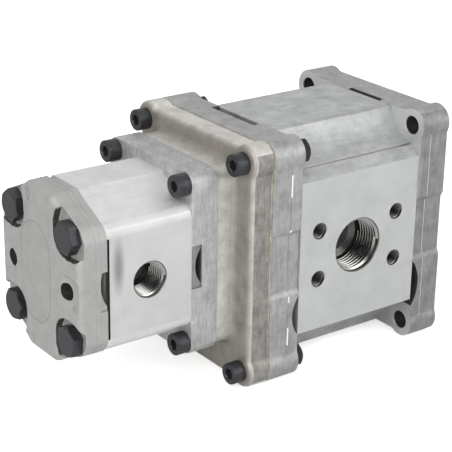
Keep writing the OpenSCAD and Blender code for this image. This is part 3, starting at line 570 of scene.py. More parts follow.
def finishes():
    """Every finish of the pump, made once and kept by name."""
    if FINISH:
        return FINISH
    chosen = bpy.context.scene.pump_colours
    cast_streak = (1.6, 1.6, 14)
    # Each row: material name, colour, spread, metallic, roughness, patch and grain in mm,
    # depth of the grain and, where there are any, streaks
    recipes = {
        # Die-cast aluminium, left as cast: even mid grey, soft patches and a pebbled skin
        "die_cast": ("die_cast_aluminium", chosen.die_cast, 0.22, 0.6, 0.5, 9, 0.9, 0.4,
                     (cast_streak, 0.3)),
        # Die casting darkened with painted shade: the sides of the mounting flange and the floors of the
        # rear flange's side notches, darker and scuffed
        "shaded_side_cast": ("dull_die_cast_aluminium", linear("#8E8F8E"), 0.22, 0.6, 0.5, 9, 0.9, 0.4,
                      (cast_streak, 0.35)),
        # Small die casting: the same skin, a little paler and scuffed up and down its sides
        "scuffed_cast": ("scuffed_die_cast_aluminium", chosen.flange, 0.2, 0.6, 0.5, 8, 0.8, 0.4,
                         ((1.2, 2.5, 12), 0.4)),
        # Sand-cast plate: warm grey, painted darker than the boss as shade on its sides, rubbed and
        # streaked along its edges
        "plate_side_shade_cast": ("sand_cast_aluminium_plate", chosen.plate, 0.3, 0.55, 0.55, 6, 1.0, 0.6,
                       ((0.9, 1.6, 9), 0.5)),
        # Sand-cast boss: paler and smoother than the plate, faintly blotched
        "boss_cast": ("sand_cast_aluminium_boss", chosen.boss, 0.2, 0.55, 0.52, 9, 1.2, 0.5),
        # Shot-blasted die casting: pale, even and matte, as on the rear end cover
        "blasted": ("blasted_cast_aluminium", chosen.blasted, 0.1, 0.5, 0.52, 8, 0.8, 0.35),
        # Extruded aluminium: bright satin with faint drawn lines along the bar
        "satin": ("satin_extruded_aluminium", chosen.satin, 0.08, 0.7, 0.54, 12, 0.6, 0.15,
                  ((24, 1.3, 1.3), 0.12)),
        # Duller extruded aluminium: stained grey patches along the bar
        "drawn": ("stained_extruded_aluminium", chosen.drawn, 0.2, 0.6, 0.52, 12, 0.7, 0.3,
                  ((16, 2.2, 2.2), 0.22)),
        # Milled aluminium: the flat port faces, smooth with a faint cloudiness
        "milled": ("milled_aluminium", chosen.milled, 0.07, 0.75, 0.42, 16, 0.6, 0.1),
        # Milled aluminium of the rear body: a little brighter than the front port faces; also a painted
        # highlight on the mounting flange's parting lines, and it carries a painted dark reflection on the
        # rear port face
        "bright": ("bright_milled_aluminium", linear("#CFD0CF"), 0.06, 0.75, 0.42, 16, 0.6, 0.1),
        # Bored aluminium: bright turned walls and threads inside the ports
        "bored": ("bored_aluminium", linear("#A9A9A6"), 0.1, 1.0, 0.24, 6, 0.6, 0.05),
        # Tapped aluminium darkened as painted shade: duller threads of the small bolt holes
        "tapped": ("tapped_aluminium", linear("#6C6C68"), 0.2, 0.9, 0.35, 4, 0.6, 0.05),
        # Painted shade on hole walls that see no light: dull and nearly black
        "hole": ("oily_drilled_aluminium", linear("#34342F"), 0.3, 0.3, 0.6, 3, 0.6, 0.2),
        # Shaded cast recess: dark brownish grey with a soft sheen
        "recess": ("shaded_cast_recess", linear("#545049"), 0.3, 0.5, 0.5, 4, 0.8, 0.3),
        # Black-oxide steel: near black with a satin sheen and grey rubbed spots
        "oxide": ("black_oxide_steel", chosen.oxide, 0.25, 0.6, 0.42, 3, 0.5, 0.15, ((2.5, 1.1, 1.1), 0.4)),
        # Black-oxide steel with painted shade: the nuts, nearly black in the shade of the ears
        "oiled": ("oiled_black_oxide_steel", linear("#232426"), 0.25, 0.4, 0.45, 3, 0.5, 0.15),
        # Pressed fibre gasket: grey-tan sheet edge with dark oil-soaked patches
        "fibre": ("pressed_fibre_gasket", chosen.gasket, 0.4, 0.0, 0.8, 5, 0.5, 0.4),
        # Ground steel: gears and shafts, clean grey with a fine lapped sheen
        "ground": ("ground_steel", linear("#B4B6B8"), 0.08, 1.0, 0.26, 8, 0.5, 0.06),
        # Zinc-plated steel: the shaft nut and washer, pale with a slightly warm cast
        "zinc": ("zinc_plated_steel", linear("#C6C4BC"), 0.1, 1.0, 0.33, 4, 0.5, 0.08),
        # Phosphated spring steel: dark grey circlip
        "phosphated": ("phosphated_spring_steel", linear("#57585A"), 0.15, 0.8, 0.45, 4, 0.5, 0.15),
        # Lined bronze: warm brown bearing bushes
        "bronze": ("lined_bronze", linear("#AD8760"), 0.14, 1.0, 0.35, 5, 0.5, 0.08),
        # Nitrile rubber: matte black seals, and painted shade deep in the screw sockets
        "rubber": ("nitrile_rubber", linear("#1D1D1E"), 0.2, 0.0, 0.62, 5, 0.6, 0.1),
        # White setting-out paint on the cast parting lines
        "paint": ("white_marking_paint", linear("#F2F2F0"), 0.08, 0.0, 0.7, 1.5, 0.6, 0.3),
    }
    for key, recipe in recipes.items():
        FINISH[key] = metal(*recipe)
    # Painted shade in the corner between the adapter's boss and plate, over the plate's rear face.
    corner_shade(FINISH["boss_cast"], PLATE_BACK - 4, PLATE_BACK + 3, 0.5)
    # Painted dark reflection: a soft upright dark patch on the rear body's near port face.
    painted_dark_patch(FINISH["bright"], (-224, -REAR_PAD, -5), (4.5, 60, 19), 0.5)
    return FINISH


def wear(piece, *names):
    """Puts the finishes in the piece's material slots in that order."""
    piece.data.materials.clear()
    for name in names:
        piece.data.materials.append(finishes()[name])


def wear_faces(piece, slot_number, wanted):
    """Gives the faces that pass the test, by centre in millimetres and normal, another finish."""
    for face in piece.data.polygons:
        if wanted(face.center / MM, face.normal):
            face.material_index = slot_number


def wear_bores(piece, slot_number, places, radius):
    """Darkens the walls of the holes along the shaft way with painted shade."""
    inside = (radius + 0.1) ** 2
    wear_faces(piece, slot_number, lambda c, n: abs(n.x) < 0.5 and any(
        (c.y - y) ** 2 + (c.z - z) ** 2 < inside for y, z in places))


def wear_recess(piece, slot_number, near, far, y0, y1, z, half):
    """Gives another finish, painted shade, to the faces between two stations and two depths on both sides.
    """
    wear_faces(piece, slot_number, lambda c, n: near < c.x < far and y0 < abs(c.y) < y1
               and abs(c.z - z) < half)


# Features shared by several pieces

def holes(piece, places, a, b, radius, rims=()):
    """Drills holes along the shaft way, with a small countersink at each (station, way) of rims."""
    for y, z in places:
        tools = [rod("drill", a, b, radius, y, z, 48)]
        for station, way in rims:
            wide, narrow = radius + 0.9, radius - 0.5
            if way > 0:
                tools.append(cone("sink", station - 0.9, station + 0.5, narrow, wide, y, z, 48))
            else:
                tools.append(cone("sink", station - 0.5, station + 0.9, wide, narrow, y, z, 48))
        cut(piece, *tools)


def eared_slab(name, half_y, back, front, sizes):
    """Casting with four ears and a set-back panel in each side, machined on both faces."""
    corner = 8.6
    quarter = [(half_y - corner, HALF_Z), (half_y, HALF_Z - corner), (half_y, PANEL_Z + PANEL_DROP),
               (half_y - PANEL_DROP, PANEL_Z)]
    slab = pulled(name, mirrored(quarter, Z_FRONT), back - 3, front + 3)
    for y, z in EARS:
        weld(slab, rod("ear", back - 3, front + 3, EAR_R, y, z))
    cast_skin(slab, sizes.skin, 6)
    machined(slab, back, -1, sizes.machined_edge)
    machined(slab, front, 1, sizes.machined_edge)
    return slab


def lens_reliefs(slab, face, way, half_y, half, z):
    """Cuts the curved relief into both sides of a casting at a body joint."""
    sag = 4.7
    deep = 7.7
    radius = (half * half + sag * sag) / (2 * sag)
    for side in (-1, 1):
        near, far = side * (half_y - deep), side * (half_y + 8)
        tool = side_rod("lens", face + way * (sag - radius), z, near, far, radius, 128)
        keep = block("keep", (face - way * 5, near, z - 2 * half), (face + way * 26, far, z + 2 * half))
        cut(slab, keep_within(tool, keep))


def top_slot(slab, near, far, y0, y1):
    """Cuts a slot into the top of a casting at a body joint."""
    cut(slab, block("slot", (near, y0, Z_FRONT + 67.2), (far, y1, Z_FRONT + 80)))


def wear_slot(slab, slot_number, near, far, y0, y1):
    """Shades the inside of a top slot and leaves its rim clean."""
    def inside(c, n):
        height = c.z - Z_FRONT
        return (near < c.x < far and y0 - 0.2 < c.y < y1 + 0.2 and 67 < height < 71.6
                and (n.z < 0.5 or height < 67.4))

    wear_faces(slab, slot_number, inside)


def side_seams(x, half_y, finish):
    """Raised parting lines down both sides of an eared casting."""
    panel_y = half_y - PANEL_DROP
    strips = [
        block("seam", (x - 0.25, side * (y - 0.6), Z_FRONT + z0),
              (x + 0.25, side * (y + 0.22), Z_FRONT + z1))
        for side in (-1, 1)
        for z0, z1, y in ((-62, -20.2, half_y), (-17.6, 17.6, panel_y), (20.2, 62, half_y))]
    lines = joined("parting_lines", *strips)
    wear(lines, finish)
    return lines


def side_notches(piece, joint, way, half_y, width, half, shallow, lens_half, lift):
    """Cuts a square shallow notch and a deep curved pocket into both sides at a body joint."""
    deep = 6
    sag = 4.3
    radius = (lens_half ** 2 + sag ** 2) / (2 * sag)
    chord = joint + (width + 0.5 if way > 0 else 0.5)
    for side in (-1, 1):
        floor, far = side * (half_y - shallow), side * (half_y + 6)
        step = block("step", (joint - way, floor, Z_REAR - half), (joint + way * width, far, Z_REAR + half))
        lens = side_rod("lens", chord - sag + radius, Z_REAR + lift, side * (half_y - deep), far - side,
                        radius, 128)
        keep = block("keep", (chord - 2 * sag, side * (half_y - deep - 1), Z_REAR - half + 0.2),
                     (min(chord, joint + width), far, Z_REAR + half - 0.2))
        cut(piece, step, keep_within(lens, keep))


def groove_tool(name, y, z, half, outer, inner, depth, steps=24):
    """Cutter for a slot-shaped groove in the rear cover's face."""
    ring = pulled(name, racetrack(y, z, half, outer, steps), END - 1, END + depth)
    return cut(ring, pulled("core", racetrack(y, z, half, inner, steps), END - 2, END + 2))


def thread(name, radius, pitch, depth, length, steps):
    """Thread ridge of a tapped hole, built along Z at the origin, from its mouth down."""
    base = radius + 0.06
    crest = radius - depth
    profile = ((base, 0), (base, -0.37), (crest, -0.07), (crest, 0.07), (base, 0.37))
    piece = drawn_face(name, [(r, 0, share * pitch) for r, share in profile])
    leave_edit()
    turns = max(1, int((length - pitch) / pitch))
    modify(piece, "SCREW", axis="Z", angle=2 * math.pi, screw_offset=-pitch * MM, iterations=turns,
           steps=steps, render_steps=steps, use_merge_vertices=True, use_smooth_shade=True)
    take(piece)
    edit("VERT")
    bpy.ops.mesh.remove_doubles(threshold=0.001 * MM)
    bpy.ops.mesh.select_all(action="SELECT")
    bpy.ops.mesh.fill_holes(sides=8)
    face_outward()
    bpy.ops.transform.translate(value=(0, 0, -0.55 * pitch * MM))
    leave_edit()
    bpy.ops.object.shade_smooth_by_angle(angle=math.radians(25))
    return piece


def thread_at(pattern, name, x, face, z, side):
    """A copy of a thread ridge set in a side hole."""
    take(pattern)
    bpy.ops.object.duplicate()
    twin = bpy.context.object
    twin.rotation_euler = Euler((-side * math.pi / 2, 0, 0))
    twin.location = (x * MM, side * face * MM, z * MM)
    return settle(name)


def port(body, x, z, side, face, radius, thread_depth, depth, step, inner):
    """Threaded port: small rim, thread length, undercut, seat cone and the passage to the gears."""
    def at(d):
        return side * (face - d)

    cut(body,
        side_rod("bore", x, z, at(-2), at(depth), radius, 96),
        side_rod("mouth", x, z, at(-0.6), at(0.6), radius - 0.1, 96, foot=radius + 1.1),
        side_rod("undercut", x, z, at(thread_depth), at(depth), radius + 0.5, 96),
        side_rod("seat", x, z, at(depth - 0.2), at(depth + 2.2), step, 96, foot=radius - 1.0),
        side_rod("passage", x, z, at(-2), at(face - inner), step, 64))


def wear_port(body, x, z, face, radius, thread_depth, depth, step):
    """Painted shade in a port: the darker tapped finish on the walls and seat round the bright threads, and
    near-black shade on the undercut and passage.
    """
    def place(c, n):
        return math.hypot(c.x - x, c.z - z), face - abs(c.y)

    def inside(c, n):
        r, d = place(c, n)
        return r < radius + 1.0 and 0.05 < d < depth + 3

    def shaded(c, n):
        r, d = place(c, n)
        return inside(c, n) and (d > depth + 2.1 or r < step + 0.1
                                 or (thread_depth - 0.1 < d < depth - 0.05 and r > radius - 0.2))

    wear_faces(body, 2, inside)
    wear_faces(body, 3, shaded)


def gear_bores(body, near, far, radius, z):
    """Bores both gear chambers through a body."""
    cut(body,
        *[rod("gear_bore", near - 1, far + 1, radius, 0, height, 96) for height in (0, 2 * z)])


# One operator for each piece or group of like pieces

class PUMP_OT_stage(bpy.types.Operator):
    """Camera, lamps, floor and white surroundings"""

    bl_idname = "pump.stage"
    bl_label = "Stage"

    def execute(self, context):
        scene = context.scene
        scene.view_settings.view_transform = "Standard"
        camera = bpy.data.objects.new("camera", bpy.data.cameras.new("camera"))
        scene.collection.objects.link(camera)
        yaw, pitch, roll = 0.6329, 0.3788, 0.0169
        ahead = Vector((math.cos(pitch) * math.sin(yaw), math.cos(pitch) * math.cos(yaw), -math.sin(pitch)))
        right = Vector((math.cos(yaw), -math.sin(yaw), 0))
        up = right.cross(ahead)
        right, up = (right * math.cos(roll) + up * math.sin(roll),
                     up * math.cos(roll) - right * math.sin(roll))
        camera.matrix_world = Matrix.Translation((-0.6146, -0.6720, 0.3137)) @ Matrix(
            (right, up, -ahead)).transposed().to_4x4()
        camera.data.lens = 118.95
        camera.data.sensor_width = 36
        camera.data.clip_start = 0.01
        scene.camera = camera

        clear_selection()
        bpy.ops.mesh.primitive_plane_add(size=8, location=(-0.15, 0, FLOOR_Z * MM - 0.0002))
        floor = settle("floor")
        material, tree = blank("white_paper_floor")
        seen = put(tree, "ShaderNodeLightPath").outputs["Is Camera Ray"]
        paper = put(tree, "ShaderNodeBsdfDiffuse", {"Color": linear("#F4F4F4")}).outputs["BSDF"]
        lift = put(tree, "ShaderNodeEmission", {"Color": WHITE, "Strength": 0.62}).outputs["Emission"]
        both = put(tree, "ShaderNodeAddShader", {0: paper, 1: lift}).outputs["Shader"]
        mixed = put(tree, "ShaderNodeMixShader", {0: seen, 1: paper, 2: both})
        put(tree, "ShaderNodeOutputMaterial", {"Surface": mixed.outputs["Shader"]})
        floor.data.materials.append(material)

        world = bpy.data.worlds.new("white_tent")
        scene.world = world
        world.use_nodes = True
        tree = world.node_tree
        tree.nodes.clear()
        path = put(tree, "ShaderNodeLightPath").outputs
        way = put(tree, "ShaderNodeTexCoord").outputs["Generated"]
        front = put(tree, "ShaderNodeVectorMath", {0: way, 1: (-0.2, -0.94, 0.28)}, operation="DOT_PRODUCT")
        dim = put(tree, "ShaderNodeMapRange", {
            "Value": front.outputs["Value"], "From Min": 0.78, "From Max": 0.95,
            "To Min": 0.85, "To Max": 0.05}).outputs["Result"]
        tent, soft, white = (
            put(tree, "ShaderNodeBackground", {"Color": WHITE, "Strength": strength}).outputs["Background"]
            for strength in (dim, 0.5, 1.0))
        glossy = put(tree, "ShaderNodeMixShader", {
            0: path["Is Glossy Ray"], 1: soft, 2: tent}).outputs["Shader"]
        mixed = put(tree, "ShaderNodeMixShader", {0: path["Is Camera Ray"], 1: glossy, 2: white})
        put(tree, "ShaderNodeOutputWorld", {"Surface": mixed.outputs["Shader"]})

        aim = Vector((-0.13, 0, -0.026))
        for name, place, size, power in (
                ("key_lamp", (-0.95, -0.6, 0.5), 0.9, 9.0),
                ("side_lamp", (0.5, -1.0, 0.5), 0.7, 4.5),
                ("top_lamp", (-0.1, 0.4, 1.1), 0.8, 0.8)):
            lamp = bpy.data.objects.new(name, bpy.data.lights.new(name, "AREA"))
            lamp.data.shape = "SQUARE"
            lamp.data.size = size
            lamp.data.energy = power
            lamp.location = place
            lamp.rotation_euler = (aim - Vector(place)).to_track_quat("-Z", "Y").to_euler()
            scene.collection.objects.link(lamp)
        return {"FINISHED"}


class PUMP_OT_front_flange(bpy.types.Operator):
    """Mounting flange with four ears, pilot, seal bore and cast reliefs"""

    bl_idname = "pump.front_flange"
    bl_label = "Mounting flange"

    def execute(self, context):
        half_y = 58.3
        slot = (-20, 9.5)
        relief_z = Z_FRONT - 36.45
        piece = eared_slab("front_flange_casting", half_y, FLANGE_BACK, FACE, context.scene.pump_sizes)
        lens_reliefs(piece, FLANGE_BACK, 1, half_y, 14.85, relief_z)
        top_slot(piece, FLANGE_BACK - 1, FLANGE_BACK + 2.6, *slot)
        weld(piece, rod("pilot", FACE - 2, high("front_flange", 0), 25.85, 0, 0, 96))
        cut(piece, rod("seal_bore", -7, 8, 20, 0, 0, 96),
            rod("shaft_hole", FLANGE_BACK - 2, 8, 13.4, 0, 0, 64))
        holes(piece, EARS, FLANGE_BACK - 2, 2, MOUNT_HOLE_R, [(FACE, 1), (FLANGE_BACK, -1)])
        for y, z in four(36, 46.3, Z_FRONT):
            cut(piece, rod("counterbore", -11, 2, 8.6, y, z, 48),
                rod("drill", FLANGE_BACK - 2, 2, 5.5, y, z, 32))
        smooth_out(piece)
        wear(piece, "die_cast", "milled", "hole", "shaded_side_cast", "recess")
        # Painted shade: the flange's sides get a darker finish, and the ear holes, side reliefs and top
        # slot are darkened.
        wear_faces(piece, 3, lambda c, n: abs(n.y) > 0.6 and abs(c.y) > 50)
        wear_faces(piece, 1, lambda c, n: (n.x > 0.9 and c.x > -0.5)
                   or (n.x < -0.9 and c.x < FLANGE_BACK + 0.1))
        wear_bores(piece, 2, EARS, MOUNT_HOLE_R)
        wear_recess(piece, 2, FLANGE_BACK + 0.1, FLANGE_BACK + 5.2, 50, 57.9, relief_z, 14.6)
        wear_slot(piece, 4, FLANGE_BACK + 0.3, FLANGE_BACK + 2.7, *slot)
        # Painted highlight: the parting lines wear the bright milled finish.
        lines = side_seams(FLANGE_BACK + 7.4, half_y, "bright")
        done(joined("front_flange_casting", piece, lines), "front_flange")
        return {"FINISHED"}


class PUMP_OT_middle_cover(bpy.types.Operator):
    """Cover between the front pump and the adapter"""

    bl_idname = "pump.middle_cover"
    bl_label = "Middle cover"

    def execute(self, context):
        half_y = 57.85
        slot = (-18, 24)
        relief_z = Z_FRONT - 34.3
        line_x = COVER_FRONT - 7.8
        piece = eared_slab("middle_cover_casting", half_y, COVER_BACK, COVER_FRONT,
                           context.scene.pump_sizes)
        lens_reliefs(piece, COVER_FRONT, -1, half_y, 12.85, relief_z)
        top_slot(piece, COVER_FRONT - 6, COVER_FRONT + 1, *slot)
        holes(piece, EARS, COVER_BACK - 2, COVER_FRONT + 2, M8_HOLE_R)
        cut(piece, rod("shaft_hole", COVER_BACK - 2, COVER_FRONT + 2, 10.3, 0, 0, 48))
        smooth_out(piece)
        wear(piece, "die_cast", "hole", "recess")
        # Painted shade in the ear holes, the side reliefs and the top slot.
        wear_bores(piece, 1, EARS, M8_HOLE_R)
        wear_recess(piece, 1, COVER_FRONT - 5.2, COVER_FRONT - 0.1, 49, 57.4, relief_z, 12.6)
        wear_slot(piece, 2, COVER_FRONT - 6.1, COVER_FRONT - 0.3, *slot)
        lines = side_seams(line_x, half_y, "die_cast")
        paint = joined("paint", *[
            block("mark", (line_x - 0.45, -57.7, Z_FRONT + z0), (line_x + 0.35, -58.12, Z_FRONT + z1))
            for z0, z1 in ((40.9, 54.2), (19.6, 20.8), (-24.5, -20.6), (-51.7, -40.6))])
        wear(paint, "paint")
        done(joined("middle_cover_casting", piece, lines, paint), "middle_cover")
        return {"FINISHED"}


class PUMP_OT_adapter_gasket(bpy.types.Operator):
    """Fibre gasket between the middle cover and the adapter"""

    bl_idname = "pump.adapter_gasket"
    bl_label = "Adapter gasket"

    def execute(self, context):
        outline = mirrored([(48.2, 72.1), (56.95, 63.4)], Z_FRONT)
        piece = pulled("adapter_gasket_sheet", outline, PLATE_FRONT, COVER_BACK)
        for y, z in EARS:
            weld(piece, rod("ear", PLATE_FRONT, COVER_BACK, EAR_R - 0.05, y, z))
        holes(piece, EARS, PLATE_FRONT - 1, COVER_BACK + 1, M8_HOLE_R)
        cut(piece, rod("opening", PLATE_FRONT - 1, COVER_BACK + 1, 31, 0, 0, 64))
        smooth_out(piece)
        wear(piece, "fibre")
        done(piece, "adapter_gasket")
        return {"FINISHED"}


class PUMP_OT_adapter_housing(bpy.types.Operator):
    """Sand-cast adapter: plate, filleted boss and bore"""

    bl_idname = "pump.adapter_housing"
    bl_label = "Adapter housing"

    def execute(self, context):
        sizes = context.scene.pump_sizes

        at_back = at_station(PLATE_BACK)

        def at_junction(a, b):
            return at_back(a, b) and all(abs(p.y) < 42.2 and abs(p.z - Z_REAR) < 54.6 for p in (a, b))

        plate = pulled("adapter_casting", mirrored([(48.15, 71.95), (56.75, 63.35)], Z_FRONT),
                       PLATE_BACK, PLATE_FRONT + 3)
        round_edges(plate, at_back, sizes.plate_round / MM, 5)
        for y, z in EARS:
            ear = rod("ear", PLATE_BACK, PLATE_FRONT + 3, EAR_R - 0.1, y, z)
            round_edges(ear, at_back, 2.4, 4)
            weld(plate, ear)
        weld(plate, pulled("boss", round_box(41.8, 54.2, 7.7), BOSS_BACK - 3, PLATE_FRONT))
        round_edges(plate, at_junction, 3.3, 5)
        cast_skin(plate, sizes.skin * 1.1, 5)
        machined(plate, PLATE_FRONT, 1, sizes.machined_edge)
        machined(plate, BOSS_BACK, -1, sizes.machined_edge)
        cut(plate, rod("bore", BOSS_BACK - 2, PLATE_FRONT + 2, 27.5, 0, 0, 96),
            rod("spigot_seat", BOSS_BACK - 2, BOSS_BACK + 4.6, 32.65, 0, 0, 96))
        holes(plate, EARS, PLATE_BACK - 2, PLATE_FRONT + 2, M8_HOLE_R)
        holes(plate, FLANGE_SCREWS, BOSS_BACK - 2, BOSS_BACK + 16, 4)
        smooth_out(plate)
        wear(plate, "boss_cast", "plate_side_shade_cast")
        # Painted shade: the plate's sides and ears are darker than the boss.
        wear_faces(plate, 1, lambda c, n: c.x > PLATE_BACK + 3.0 and abs(c.y) > 50
                   and abs(c.z - Z_FRONT) < 70)
        done(plate, "adapter_housing")
        return {"FINISHED"}


class PUMP_OT_rear_flange(bpy.types.Operator):
    """Flange of the rear pump, bolted to the adapter"""

    bl_idname = "pump.rear_flange"
    bl_label = "Rear pump flange"

    def execute(self, context):
        sizes = context.scene.pump_sizes
        piece = pulled("rear_flange_casting", round_box(42.7, 55.3, 6.8), SMALL_BACK - 3, BOSS_BACK + 3)
        cast_skin(piece, sizes.skin, 4)
        machined(piece, SMALL_BACK, -1, sizes.machined_edge)
        machined(piece, BOSS_BACK, 1, sizes.machined_edge)
        weld(piece, rod("spigot", BOSS_BACK - 2, BOSS_BACK + 4.3, 32.6, 0, 0, 96))
        cut(piece, rod("neck", SMALL_BACK - 2, BOSS_BACK + 6, 8.9, 0, 0, 48))
        side_notches(piece, SMALL_BACK, 1, 42.7, 6.7, 13.05, 1.1, 11.2, 0)
        holes(piece, FLANGE_SCREWS, SMALL_BACK - 2, BOSS_BACK + 2, M8_HOLE_R)
        holes(piece, COVER_BOLTS, SMALL_BACK - 2, SMALL_BACK + 13, 5)
        smooth_out(piece)
        wear(piece, "scuffed_cast", "recess", "hole", "shaded_side_cast")
        # Painted shade: the floor and pocket of each side notch and the bolt holes are darkened.
        wear_recess(piece, 3, SMALL_BACK, SMALL_BACK + 6.8, 41.2, 42.4, Z_REAR, 13.2)
        wear_recess(piece, 1, SMALL_BACK, SMALL_BACK + 7.2, 36, 41.5, Z_REAR, 12)
        wear_bores(piece, 2, COVER_BOLTS + FLANGE_SCREWS, 5)
        line = pulled("line", softened(mirrored([(35.9, 55.38), (42.78, 48.5)], Z_REAR), 4),
                      BOSS_BACK - 7.2, BOSS_BACK - 6.8)
        cut(line, block("inner", (BOSS_BACK - 9, -40, Z_REAR - 52), (BOSS_BACK - 5, 40, Z_REAR + 52)))
        wear(line, "scuffed_cast")
        done(joined("rear_flange_casting", piece, line), "rear_flange")
        return {"FINISHED"}


class PUMP_OT_front_body(bpy.types.Operator):
    """Extruded front body with milled port faces"""

    bl_idname = "pump.front_body"
    bl_label = "Front body"

    def execute(self, context):
        quarter = [
            (27.45, 71.75), (29.5, 70.85), (30.35, 68.5), (31.55, 66.35), (33.0, 63.8), (34.8, 61.4),
            (36.7, 59.25), (38.75, 57.35), (41.0, 55.75), (43.2, 54.45), (45.6, 53.4), (47.6, 52.85),
            (48.1, 51.6), (48.9, 51.45), (49.4, 52.4), (57.4, 47)]
        body = pulled("front_body_bar", mirrored(quarter, Z_FRONT), COVER_FRONT, FLANGE_BACK)
        break_edges(body, 0.2 * MM)
        for (side, *sizes), (_, spacing_x, spacing_z, tap_depth) in zip(FRONT_PORTS, PORT_BOLTS):
            port(body, FRONT_PORT_X, Z_FRONT, side, FRONT_PAD, *sizes, 10)
            for x, z in port_bolts(spacing_x, spacing_z):
                cut(body,
                    side_rod("tap", x, z, side * (FRONT_PAD + 2), side * (FRONT_PAD - tap_depth), 5, 32),
                    side_rod("sink", x, z, side * (FRONT_PAD + 0.6), side * (FRONT_PAD - 0.6), 4.8, 32,
                             foot=6.0))
        gear_bores(body, COVER_FRONT, FLANGE_BACK, 26.83, Z_FRONT)
        smooth_out(body, 25, split=False)
        wear(body, "drawn", "milled", "tapped", "hole")
        wear_faces(body, 1, lambda c, n: abs(c.y) > FRONT_PAD - 0.3 and abs(n.y) > 0.9)
        # Painted shade in the side groove, the tapped holes and deep in the port.
        wear_faces(body, 2, lambda c, n: 47.7 < abs(c.y) < 49.5 and 51.2 < abs(c.z - Z_FRONT) < 52.5)

        def in_tapped_hole(c, n):
            for side, spacing_x, spacing_z, _ in PORT_BOLTS:
                near = math.hypot(abs(c.x - FRONT_PORT_X) - spacing_x / 2,
                                  abs(c.z - Z_FRONT) - spacing_z / 2)
                if c.y * side > 30 and near < 5.2 and abs(c.y) < FRONT_PAD - 0.6:
                    return True
            return False

        wear_faces(body, 3, in_tapped_hole)
        wear_port(body, FRONT_PORT_X, Z_FRONT, FRONT_PAD, *FRONT_PORTS[0][1:])
        done(body, "front_body")
        return {"FINISHED"}


class PUMP_OT_rear_body(bpy.types.Operator):
    """Extruded rear body with milled port faces"""

    bl_idname = "pump.rear_body"
    bl_label = "Rear body"

    def execute(self, context):
        quarter = [(12.85, 49.9), (13.9, 49.4), (17.15, 46.65), (37.4, 37.45), (38.5, 36.8), (40.8, 34.65),
                   (41.5, 33.55), (42.4, 29.65)]
        body = pulled("rear_body_bar", mirrored(quarter, Z_REAR), REAR_BACK, SMALL_BACK)
        break_edges(body, 0.2 * MM)
        for side, *sizes in REAR_PORTS:
            port(body, REAR_PORT_X, Z_REAR, side, REAR_PAD, *sizes, 8)
            cut(body, block("relief", (REAR_BACK - 1, side * (REAR_PAD - 1.6), Z_REAR - 29.6),
                            (REAR_BACK + 1.7, side * (REAR_PAD + 2), Z_REAR + 29.6)))
        gear_bores(body, REAR_BACK, SMALL_BACK, 20.23, Z_REAR)
        smooth_out(body, 25, split=False)
        wear(body, "satin", "bright", "tapped", "hole")
        wear_faces(body, 1, lambda c, n: abs(c.y) > REAR_PAD - 0.4 and abs(n.y) > 0.9)
        # Painted shade in the relief at the body's end and deep in the port.
        wear_recess(body, 3, REAR_BACK - 1, REAR_BACK + 1.75, REAR_PAD - 1.7, REAR_PAD - 0.1, Z_REAR, 29.7)
        wear_port(body, REAR_PORT_X, Z_REAR, REAR_PAD, *REAR_PORTS[0][1:])
        done(body, "rear_body")
        return {"FINISHED"}


